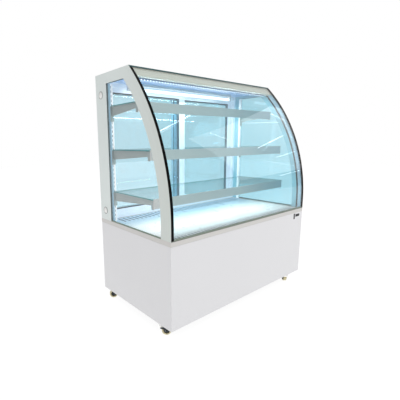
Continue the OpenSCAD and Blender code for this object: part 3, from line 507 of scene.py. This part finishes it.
SLOT_OF = {part["node"]: part["material_slot"] for part in frame["record"]["subparts"]}
for node in NODES:
    if node.startswith("castor_wheel"):
        paint(node, tyre_material("tyre_" + node[-2:], box_centre(node)))
    elif SLOT_OF.get(node) in MAT:
        paint(node, MAT[SLOT_OF[node]])

side_frame = side_frame_material()
# painted light and shade: rails pale at the left end, bluer and darker to the right, with a faint
# glow
rail_by_width = gradient_paint("rail_by_width", "rail_paint", "X", (
    (-0.57, "D6D7D3"), (0.10, "B9C9CB"), (0.40, "8DAFB8"), (0.57, "83A8B3")), 0.10)
gasket_by_height = gradient_paint("gasket_by_height", "black_rubber", "Z", (
    (RIM_TOP - 0.01, "6B7068"), (RIM_TOP + 0.016, "6B7068"),
    (RIM_TOP + 0.018, "0B0C0E"), (HEIGHT, "0B0C0E")))
# painted light and shade: warm white at the front, darker blue-grey towards the rear, with a faint
# glow
deck = gradient_paint("deck", "deck_white", "Y", (
    (-0.30, "FFEFEA"), (0.02, "F4F2F1"), (0.13, "B4C8D6"), (0.22, "A2BDD0")), 0.07)
# painted light: white face with a faint glow, its outer edges a bluish painted shade
standards = gradient_paint("standards", "standard_white", "X", (
    (-0.587, "8FB9CC"), (-0.5800, "8FB9CC"), (-0.5795, "F2F7F9"),
    (0.5795, "F2F7F9"), (0.5800, "8FB9CC"), (0.587, "8FB9CC")), 0.32)

for node, material in {
        "base_rim": MAT["rim_paint"],
        "left_side_frame": side_frame, "right_side_frame": side_frame,
        "front_glass": MAT["front_glass"],
        "left_side_glass": MAT["side_glass"], "right_side_glass": MAT["right_glass"],
        "left_door_glass": MAT["door_glass"], "right_door_glass": MAT["door_glass"],
        "shelf_glasses": MAT["shelf_glass"],
        "left_door_frame": MAT["door_alu"], "right_door_frame": MAT["door_alu"],
        "door_frame": MAT["door_alu"],
        "shelf_rails": rail_by_width, "glass_gaskets": gasket_by_height,
        "header_panel": MAT["header_paint"], "led_strips": MAT["strip"],
        "led_tube": MAT["white_plastic"], "deck_tray": deck,
        "castor_brake_fl": pedal_nylon, "castor_brake_fr": pedal_nylon,
        "shelf_standards": standards, "condenser_coil": MAT["aluminium"]}.items():
    paint(node, material)
for corner in ("fl", "fr", "rl", "rr"):
    paint("castor_fork_" + corner,
          fork_material("fork_" + corner, box_centre("castor_wheel_" + corner)))


# ---------------------------------------------------------------- rounded edges on the CAD shells
def soften(node, width):
    cad = NODES[node]
    weld = cad.modifiers.new("weld", "WELD")
    weld.merge_threshold = 1e-5
    flat = cad.modifiers.new("flat", "DECIMATE")
    flat.decimate_type = "DISSOLVE"
    flat.angle_limit = math.radians(0.3)
    bevel = cad.modifiers.new("bevel", "BEVEL")
    bevel.width = width
    bevel.segments = 2
    bevel.limit_method = "ANGLE"
    bevel.angle_limit = math.radians(35)
    bevel.harden_normals = False
    bevel.use_clamp_overlap = True
    cad.modifiers.new("tri", "TRIANGULATE")
    for face in cad.data.polygons:
        face.use_smooth = False


for node, width in {
        "base_rim": 0.0015, "front_panel": 0.0006, "left_panel": 0.0006, "right_panel": 0.0006,
        "left_side_frame": 0.0012, "right_side_frame": 0.0012, "roof_panel": 0.001,
        "header_panel": 0.0008, "left_door_frame": 0.0012, "right_door_frame": 0.0012,
        "shelf_rails": 0.0006, "junction_box": 0.001, "condensate_tray": 0.0008,
        "temperature_controller": 0.00012, "shelf_glasses": 0.0006}.items():
    soften(node, width)


# ---------------------------------------------------------------- mesh helpers
def mesh_object(name, verts, faces, material, smooth=False):
    mesh = bpy.data.meshes.new(name)
    mesh.from_pydata([tuple(v) for v in verts], [], faces)
    mesh.validate()
    bm = bmesh.new()
    bm.from_mesh(mesh)
    bmesh.ops.recalc_face_normals(bm, faces=bm.faces)
    bm.to_mesh(mesh)
    bm.free()
    made = bpy.data.objects.new(name, mesh)
    scene.collection.objects.link(made)
    mesh.materials.append(material)
    if smooth:
        for face in mesh.polygons:
            face.use_smooth = True
    return made


class Build:
    """Collects closed shapes into one mesh."""

    def __init__(self):
        self.verts, self.faces = [], []

    def box(self, low, high, bevel=0.0):
        low, high = [[float(c) for c in corner] for corner in (low, high)]
        middle = [(a + b) / 2 for a, b in zip(low, high)]
        size = [b - a for a, b in zip(low, high)]
        bm = bmesh.new()
        bmesh.ops.create_cube(bm, size=1.0, matrix=Matrix.Translation(middle)
                              @ Matrix.Diagonal((*size, 1)))
        if bevel:
            bmesh.ops.bevel(bm, geom=bm.edges[:], offset=bevel, segments=2, affect="EDGES",
                            profile=0.5)
        first = len(self.verts)
        bm.verts.index_update()
        self.verts += [v.co.copy() for v in bm.verts]
        self.faces += [[first + v.index for v in f.verts] for f in bm.faces]
        bm.free()

    def dome(self, centre, radius, height, axis, sides=10, rings=3):
        """Low dome standing on centre along axis."""
        up = Vector(axis).normalized()
        across = up.orthogonal().normalized()
        along = up.cross(across)
        first = len(self.verts)
        centre = Vector(centre)
        for i in range(rings):
            rise = i / rings * math.pi / 2
            for j in range(sides):
                turn = 2 * math.pi * j / sides
                spoke = across * math.cos(turn) + along * math.sin(turn)
                self.verts.append(centre + spoke * radius * math.cos(rise)
                                  + up * height * math.sin(rise))
        self.verts.append(centre + up * height)
        self.faces.append([first + j for j in range(sides)][::-1])
        for i in range(rings - 1):
            for j in range(sides):
                a = first + i * sides + j
                b = first + i * sides + (j + 1) % sides
                self.faces.append([a, b, b + sides, a + sides])
        top = first + rings * sides
        last_ring = top - sides
        for j in range(sides):
            self.faces.append([last_ring + j, last_ring + (j + 1) % sides, top])

    def loft(self, rings):
        """Skin over rings of equal count, with capped ends."""
        first = len(self.verts)
        count = len(rings[0])
        for ring in rings:
            self.verts += ring
        for i in range(len(rings) - 1):
            for j in range(count):
                a = first + i * count + j
                b = first + i * count + (j + 1) % count
                self.faces.append([a, b, b + count, a + count])
        self.faces.append([first + j for j in range(count)][::-1])
        self.faces.append([first + (len(rings) - 1) * count + j for j in range(count)])

    def tube(self, points, radius, sides=8):
        """Round bar along points."""
        points = [Vector(p) for p in points]
        rings = []
        up = None
        for i, point in enumerate(points):
            before = points[max(0, i - 1)]
            after = points[min(len(points) - 1, i + 1)]
            along = (after - before).normalized()
            if up is None:
                up = along.orthogonal().normalized()
            up = (up - along * up.dot(along)).normalized()
            side = along.cross(up)
            turns = [2 * math.pi * j / sides for j in range(sides)]
            rings.append([point + (up * math.cos(t) + side * math.sin(t)) * radius
                          for t in turns])
        self.loft(rings)

    def bars(self, low, high, inset, width, y_span, bevel):
        """Four bars round an upright rectangle, set in from the box low..high."""
        x0, x1, z0, z1 = low.x + inset, high.x - inset, low.z + inset, high.z - inset
        y0, y1 = y_span
        self.box((x0, y0, z0), (x0 + width, y1, z1), bevel)
        self.box((x1 - width, y0, z0), (x1, y1, z1), bevel)
        self.box((x0 + width, y0, z0), (x1 - width, y1, z0 + width), bevel)
        self.box((x0 + width, y0, z1 - width), (x1 - width, y1, z1), bevel)

    def done(self, name, material, body="root", smooth=False):
        made = mesh_object(name, self.verts, self.faces, MAT[material], smooth)
        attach(made, body)


def side_span(side, inner, outer):
    """Ordered x limits of a piece set in from the side of the case by inner and outer."""
    return sorted((side * (HALF_W - inner), side * (HALF_W - outer)))


# ---------------------------------------------------------------- lamps and ceiling
def tube_glow():
    low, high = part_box("led_tube")
    y, z = (low.y + high.y) / 2, low.z + 0.012
    build = Build()
    build.tube([(-0.4405, y, z), (0.4405, y, z)], radius=0.0086, sides=20)
    build.done("tube_glow", "lamp", smooth=True)


def header_leds():
    count, half_row = 56, 0.54
    y = bend_y(GLASS_R - 0.013, HEIGHT - 0.055) + 0.033
    build = Build()
    for i in range(count):
        x = -half_row + i * 2 * half_row / (count - 1)
        build.dome((x, y, HEIGHT - 0.0595), radius=0.0032, height=0.0052, axis=(0, 0, -1))
    build.done("header_led_chips", "led", smooth=True)


def ceiling_liner():
    # sheet under the roof that carries the painted blue ceiling light
    low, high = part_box("roof_panel")
    build = Build()
    build.box((-0.5845, low.y + 0.002, low.z - 0.0012),
              (0.5845, high.y - 0.069, low.z - 0.0002), bevel=0.0003)
    build.done("ceiling_liner", "ceiling")


tube_glow()
header_leds()
ceiling_liner()


# ---------------------------------------------------------------- side seals
def window_paths(x):
    """Front curve, top edge and rear edge of a side window."""
    nudge = 0.0004
    foot = RIM_TOP + 0.002
    heights = []
    z = foot
    while z < BEND_Z:
        heights.append(z)
        z += 0.01
    steps = 60
    heights += [BEND_Z + (WINDOW_TOP - BEND_Z) * i / steps for i in range(steps + 1)]
    curve = [(x, bend_y(WINDOW_R, z) + nudge, z) for z in heights]
    top = [(x, bend_y(WINDOW_R, WINDOW_TOP), WINDOW_TOP - nudge),
           (x, WINDOW_REAR, WINDOW_TOP - nudge)]
    rear = [(x, WINDOW_REAR - nudge, WINDOW_TOP), (x, WINDOW_REAR - nudge, foot)]
    return curve, top, rear


def window_seal(name, material, x, radius):
    build = Build()
    for path in window_paths(x):
        build.tube(path, radius)
    build.done(name, material, smooth=True)


def post_seal(side, label):
    """Black line down the inner edge of the curved front post."""
    steps = 90
    build = Build()
    heights = [RIM_TOP + 0.004 + i * (HEIGHT - 0.060 - RIM_TOP) / steps
               for i in range(steps + 1)]
    build.tube([(side * (HALF_W - 0.0144), bend_y(POST_R, z), z) for z in heights],
               radius=0.0048)
    build.done(label + "_post_inner_seal", "badge_black", smooth=True)


def cap_rings(side, label):
    """Shadow line round the two cover caps."""
    ring_r, steps = 0.0198, 40
    build = Build()
    for cap_z in (RIM_TOP + 0.058, HEIGHT - 0.112):
        turns = [i * 2 * math.pi / steps for i in range(steps + 1)]
        build.tube([(side * (HALF_W + 0.0006), HALF_D - 0.0574 + ring_r * math.cos(turn),
                     cap_z - 0.0006 + ring_r * math.sin(turn)) for turn in turns],
                   radius=0.0013)
    build.done(label + "_cap_rings", "cap_line", smooth=True)


for side, label in SIDES:
    window_seal(label + "_window_sealant", "sealant", side * WINDOW_X, radius=0.0009)
    window_seal(label + "_window_inner_seal", "seal_grey", side * (WINDOW_X - 0.0068),
                radius=0.0011)
    post_seal(side, label)
    cap_rings(side, label)


# ---------------------------------------------------------------- painted shade behind slots, and seams
def standard_slot_shade(side, label):
    """Near-black sheet inside the slotted shelf standard: painted shade behind the slots."""
    low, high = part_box("shelf_standards")
    x0, x1 = side_span(side, 0.0315, 0.0165)
    build = Build()
    build.box((x0, low.y + 0.0035, low.z + 0.004), (x1, low.y + 0.0045, high.z - 0.004),
              bevel=0.0002)
    build.done(label + "_standard_slot_shade", "dark_gap")


def deck_slot_shade():
    """Near-black sheets under the rear and front air slots of the deck: painted shade in the slots.
    """
    low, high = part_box("deck_tray")
    build = Build()
    for y0, y1 in ((high.y - 0.103, high.y - 0.0064), (low.y + 0.0064, low.y + 0.038)):
        build.box((-0.556, y0, high.z - 0.0036), (0.556, y1, high.z - 0.0028), bevel=0.0002)
    build.done("deck_slot_shade_sheet", "dark_gap")


def window_seam(side, label):
    """Olive strip along the foot of the side window."""
    x0, x1 = side_span(side, 0.0037, 0.0003)
    build = Build()
    build.box((x0, -HALF_D + 0.020, RIM_TOP + 0.0002),
              (x1, HALF_D - 0.1175, RIM_TOP + 0.0080), bevel=0.0004)
    build.done(label + "_window_seam", "seam_olive", smooth=True)


for side, label in SIDES:
    standard_slot_shade(side, label)
deck_slot_shade()
for side, label in SIDES:
    window_seam(side, label)


# ---------------------------------------------------------------- shelf LEDs and badge
def shelf_leds(number, shelf_z):
    """LED chips on the strip inside one shelf rail."""
    count, half_row = 72, 0.53
    rail_front = min(v.co.y for v in NODES["shelf_rails"].data.vertices
                     if shelf_z - 0.05 < v.co.z < shelf_z + 0.007)
    build = Build()
    for i in range(count):
        x = -half_row + i * 2 * half_row / (count - 1)
        build.dome((x, rail_front + 0.007, shelf_z - 0.024),
                   radius=0.0034, height=0.0018, axis=(0, 1, 0))
    build.done("shelf_led_chips_%d" % number, "led_small", smooth=True)


def blank_badge():
    """A small bar and a short plate at the front right, no lettering."""
    front = -HALF_D
    build = Build()
    build.box((0.490, front + 0.0003, 0.4500), (0.505, front + 0.0015, 0.4870), bevel=0.0005)
    build.box((0.513, front + 0.0003, 0.4640), (0.562, front + 0.0014, 0.4810), bevel=0.0005)
    build.done("blank_badge", "badge_black")


for number, shelf_z in enumerate((1.170, 0.930, 0.690), 1):
    shelf_leds(number, shelf_z)
blank_badge()

# ---------------------------------------------------------------- temperature controller
LIT_SEGMENTS = {0: "abcdef", 4: "fgbc"}
CTRL_LOW, CTRL_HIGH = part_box("temperature_controller")
CTRL_FACE = CTRL_HIGH.y
CTRL_Z = (CTRL_LOW.z + CTRL_HIGH.z) / 2


def digit(build, value, x):
    """Seven-segment digit standing on the rear face, from x to x + width."""
    width, half_height, stroke = 0.0068, 0.0135 / 2, 0.0011
    right, top, bottom = x + width, CTRL_Z + half_height, CTRL_Z - half_height
    # segment: low x, low z, high x, high z
    segments = {"a": (x, top, right, top), "g": (x, CTRL_Z, right, CTRL_Z),
                "d": (x, bottom, right, bottom), "f": (x, CTRL_Z, x, top),
                "b": (right, CTRL_Z, right, top), "e": (x, bottom, x, CTRL_Z),
                "c": (right, bottom, right, CTRL_Z)}
    for letter in LIT_SEGMENTS[value]:
        x0, z0, x1, z1 = segments[letter]
        gap = 0.0 if z0 == z1 else stroke * 0.6     # uprights stop short of the level bars
        build.box((x0 - stroke / 2, CTRL_FACE - 0.0003, z0 - stroke / 2 + gap),
                  (x1 + stroke / 2, CTRL_FACE, z1 + stroke / 2 - gap))


def controller():
    left = CTRL_LOW.x
    build = Build()
    build.box((left + 0.0052, CTRL_FACE - 0.0009, CTRL_Z - 0.0108),
              (left + 0.0448, CTRL_FACE - 0.0003, CTRL_Z + 0.0108), bevel=0.0002)
    build.done("controller_window", "window_dark")
    build = Build()
    # read from the rear, so the first digit is at +x
    for place, value in enumerate((4, 0)):
        digit(build, value, left + 0.027 - place * 0.011)
    build.box((left + 0.0240, CTRL_FACE - 0.0003, CTRL_Z - 0.0075),
              (left + 0.0252, CTRL_FACE, CTRL_Z - 0.0062))
    build.done("controller_digits", "digits")


controller()


# ---------------------------------------------------------------- door trims
def door_pull(label, body, x, face_y):
    """Cup-shaped lining of the upright rounded finger pull."""
    count, centre_z, half_straight = 40, 0.925, 0.066
    outer_r, inner_r, narrowing = 0.0088, 0.0072, 0.82
    back, front = face_y - 0.0112, face_y + 0.0006

    def ring(half_width, end_r, y):
        points = []
        for i in range(count):
            turn = 2 * math.pi * i / count
            shift = half_straight if math.sin(turn) >= 0 else -half_straight
            points.append(Vector((x + math.cos(turn) * half_width, y,
                                  centre_z + math.sin(turn) * end_r + shift)))
        return points

    inner_half = outer_r * narrowing
    build = Build()
    build.loft([ring(outer_r, outer_r, back), ring(outer_r, outer_r, front),
                ring(inner_half, inner_r, front), ring(inner_half, inner_r, back + 0.0012)])
    build.done(label + "_door_pull", "black_plastic", body)


def door_trims(label):
    body = label + "_door"
    glass_low, glass_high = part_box(label + "_door_glass")
    low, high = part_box(label + "_door_frame")
    # gasket round the glass on both faces
    build = Build()
    for y_span in ((low.y - 0.0004, low.y + 0.0031), (high.y - 0.0031, high.y + 0.0004)):
        build.bars(glass_low, glass_high, inset=0.0077, width=0.0038, y_span=y_span,
                   bevel=0.0005)
    build.done(label + "_door_gasket", "black_rubber", body)
    # aluminium spacer bar between the two panes
    build = Build()
    build.bars(glass_low, glass_high, inset=0.0121, width=0.007,
               y_span=(glass_low.y + 0.0042, glass_high.y - 0.0042), bevel=0.0006)
    build.done(label + "_door_spacer", "aluminium", body)
    door_pull(label, body, low.x + 0.023 if label == "left" else high.x - 0.023, high.y)
    # brush seal on the meeting upright
    build = Build()
    z0, z1 = low.z + 0.004, high.z - 0.004
    if label == "left":
        build.box((high.x - 0.012, high.y, z0), (high.x - 0.008, high.y + 0.0085, z1),
                  bevel=0.0008)
    else:
        build.box((low.x + 0.008, low.y - 0.0012, z0), (low.x + 0.012, low.y, z1),
                  bevel=0.0004)
    build.done(label + "_door_brush", "black_rubber", body)


for side, label in SIDES:
    door_trims(label)

# ---------------------------------------------------------------- camera
CAMERA_AT = Vector((-1.5151078, -1.4027477, 0.9759227))
YAW, PITCH, ROLL = 0.675912954, -0.18010296, -0.01177957   # yaw turns from +Y towards +X


def camera_matrix():
    forward = Vector((math.sin(YAW) * math.cos(PITCH), math.cos(YAW) * math.cos(PITCH),
                      math.sin(PITCH)))
    level = Vector((math.cos(YAW), -math.sin(YAW), 0))
    upright = level.cross(forward)
    right = level * math.cos(ROLL) + upright * math.sin(ROLL)
    up = -level * math.sin(ROLL) + upright * math.cos(ROLL)
    matrix = Matrix.Identity(4)
    for i in range(3):
        matrix[i][0], matrix[i][1], matrix[i][2] = right[i], up[i], -forward[i]
        matrix[i][3] = CAMERA_AT[i]
    return matrix


CAMERA_MATRIX = camera_matrix()
camera_data = bpy.data.cameras.new("camera")
camera = bpy.data.objects.new("camera", camera_data)
scene.collection.objects.link(camera)
camera.matrix_world = CAMERA_MATRIX
camera_data.sensor_width = 36
camera_data.lens = 28.6642215
camera_data.shift_x = 0.09713915
camera_data.shift_y = -0.00066785
camera_data.clip_start = 0.01
scene.camera = camera


# ---------------------------------------------------------------- floor and world
def floor_material():
    shader = Shader("floor_pale")
    return shader.finish(shader.principled({
        "Base Color": shader.mottle((0.14, 0.14, 0.14, 1), (0.16, 0.16, 0.16, 1),
                                    scale=3.0, detail=2.0),
        "Roughness": 0.9, "Emission Color": WHITE, "Emission Strength": 0.93}))


def add_floor():
    bm = bmesh.new()
    bmesh.ops.create_grid(bm, x_segments=24, y_segments=24, size=12.0)
    mesh = bpy.data.meshes.new("floor")
    bm.to_mesh(mesh)
    bm.free()
    floor = bpy.data.objects.new("floor", mesh)
    scene.collection.objects.link(floor)
    mesh.materials.append(floor_material())


def add_world():
    """White to the camera, dimmer as a light."""
    world = bpy.data.worlds.new("studio")
    scene.world = world
    world.use_nodes = True
    nodes, links = world.node_tree.nodes, world.node_tree.links
    nodes.clear()
    output = nodes.new("ShaderNodeOutputWorld")
    lighting = nodes.new("ShaderNodeBackground")
    backdrop = nodes.new("ShaderNodeBackground")
    mix = nodes.new("ShaderNodeMixShader")
    light_path = nodes.new("ShaderNodeLightPath")
    lighting.inputs["Color"].default_value = (1.0, 0.995, 1.0, 1)
    lighting.inputs["Strength"].default_value = 0.62
    backdrop.inputs["Color"].default_value = WHITE
    backdrop.inputs["Strength"].default_value = 1.0
    links.new(light_path.outputs["Is Camera Ray"], mix.inputs[0])
    links.new(lighting.outputs[0], mix.inputs[1])
    links.new(backdrop.outputs[0], mix.inputs[2])
    links.new(mix.outputs[0], output.inputs[0])


add_floor()
add_world()


# ---------------------------------------------------------------- lights
def area(name, at, target, size, power, colour=(1, 1, 1)):
    light = bpy.data.lights.new(name, "AREA")
    light.energy = power
    light.color = colour
    light.shape = "RECTANGLE"
    light.size, light.size_y = size
    made = bpy.data.objects.new(name, light)
    scene.collection.objects.link(made)
    made.location = at
    made.rotation_euler = (Vector(target) - Vector(at)).to_track_quat("-Z", "Y").to_euler()
    return made


area("key", at=(-1.0, -3.4, 3.2), target=(0, 0, 0.6), size=(2.2, 2.2), power=26)
area("fill", at=(3.0, -1.5, 2.0), target=(0, 0, 0.7), size=(2.0, 2.0), power=12)
# lights inside the case: name, place, target, size, power
for name, at, target, size, power in (
        ("case_light", (0, 0.19, 1.262), (0, 0.02, 0.5), (0.95, 0.06), 4.4),
        ("header_light", (0, -0.02, 1.285), (0, 0.05, 0.5), (1.0, 0.03), 1.8),
        ("upper_light", (0, 0.06, 1.12), (0, 0.08, 0.5), (1.0, 0.02), 1.0),
        ("middle_light", (0, -0.02, 0.88), (0, 0.0, 0.5), (1.0, 0.02), 0.9),
        ("lower_light", (0, -0.10, 0.64), (0, -0.08, 0.5), (1.0, 0.02), 0.8)):
    inner = area(name, at, target, size, power, colour=(0.90, 0.97, 1.0))
    inner.visible_camera = False
    inner.visible_glossy = False
    inner.visible_transmission = False


# ---------------------------------------------------------------- studio strips
# Soft strips that only mirrors can see, each placed where the curved glass reflects it.
def glass_hit(across, up):
    """Where a camera ray meets the front glass, and the direction in which it is reflected.

    across and up are the ray's slopes from the lens axis, per unit forward."""
    ray = CAMERA_MATRIX.to_3x3() @ Vector((across, up, -1.0))
    hit = CAMERA_AT + ray * ((-HALF_D - CAMERA_AT.y) / ray.y)
    normal = Vector((0, -1, 0))
    if hit.z > BEND_Z:
        # nearer root of the ray against the bend cylinder
        from_y, from_z = CAMERA_AT.y - BEND_Y, CAMERA_AT.z - BEND_Z
        a = ray.y ** 2 + ray.z ** 2
        b = 2 * (ray.y * from_y + ray.z * from_z)
        c = from_y ** 2 + from_z ** 2 - GLASS_R ** 2
        hit = CAMERA_AT + ray * ((-b - math.sqrt(b * b - 4 * a * c)) / (2 * a))
        normal = Vector((0, hit.y - BEND_Y, hit.z - BEND_Z)).normalized()
    ray = ray.normalized()
    return hit, ray - normal * 2 * ray.dot(normal)


def strip_material(name, strength):
    shader = Shader(name)
    tone = rgba("F4FAFF")
    return shader.finish(shader.add("ShaderNodeEmission", {
        "Color": shader.mottle(vary(tone, 0.75), tone, scale=1.5, detail=2.0,
                               span=(0.35, 0.65)),
        "Strength": strength}))


def mirror_strip(name, start, end, width, strength):
    distance, segments = 2.6, 6
    stations = []
    for i in range(segments + 1):
        share = i / segments
        hit, away = glass_hit(*(a + (b - a) * share for a, b in zip(start, end)))
        stations.append((hit + away * distance, away))
    verts, faces = [], []
    for i, (centre, away) in enumerate(stations):
        before = stations[max(0, i - 1)][0]
        after = stations[min(segments, i + 1)][0]
        half = (after - before).cross(away).normalized() * width / 2
        verts += [centre - half, centre + half]
        if i:
            faces.append((2 * i - 2, 2 * i - 1, 2 * i + 1, 2 * i))
    strip = mesh_object(name, verts, faces, strip_material(name, strength))
    strip.visible_camera = False
    strip.visible_diffuse = False
    strip.visible_transmission = False
    strip.visible_shadow = False


# start (across, up), end (across, up) as ray slopes; width in metres; strength
STRIPS = (
    ((0.30410766, 0.16243097), (0.38260273, 0.20167851), 0.014, 8.0),
    ((0.32294648, 0.15301157), (0.35434451, 0.19539890), 0.008, 5.0),
    ((0.36062411, 0.13260285), (0.42028036, 0.15144166), 0.012, 6.0),
    ((0.37318332, 0.07608640), (0.43597938, 0.09178541), 0.012, 6.0),
    ((0.25701062, 0.24092604), (0.37004352, 0.24406584), 0.012, 5.0),
    ((0.34492510, 0.27075417), (0.38731243, 0.25034545), 0.016, 6.0),
    ((-0.01458231, 0.21078393), (0.09060108, 0.26541650), 0.022, 11.0),
    ((-0.00987261, 0.20638821), (0.04664384, 0.23621634), 0.010, 6.0),
    ((0.15339713, 0.21109792), (0.21619319, 0.18754940), 0.010, 6.0),
    ((0.31666687, 0.12475334), (0.42342017, 0.10591452), 0.008, 4.0),
    ((0.38574253, 0.25034545), (0.41086095, 0.19382900), 0.010, 4.0),
)
for number, (start, end, width, strength) in enumerate(STRIPS, 1):
    mirror_strip("studio_strip_%d" % number, start, end, width, strength)

# ---------------------------------------------------------------- render settings
scene.view_settings.view_transform = "Standard"
scene.view_settings.look = "None"
scene.cycles.max_bounces = 12
scene.cycles.transparent_max_bounces = 24
scene.cycles.use_denoising = True
scene.cycles.caustics_reflective = False
scene.cycles.caustics_refractive = False
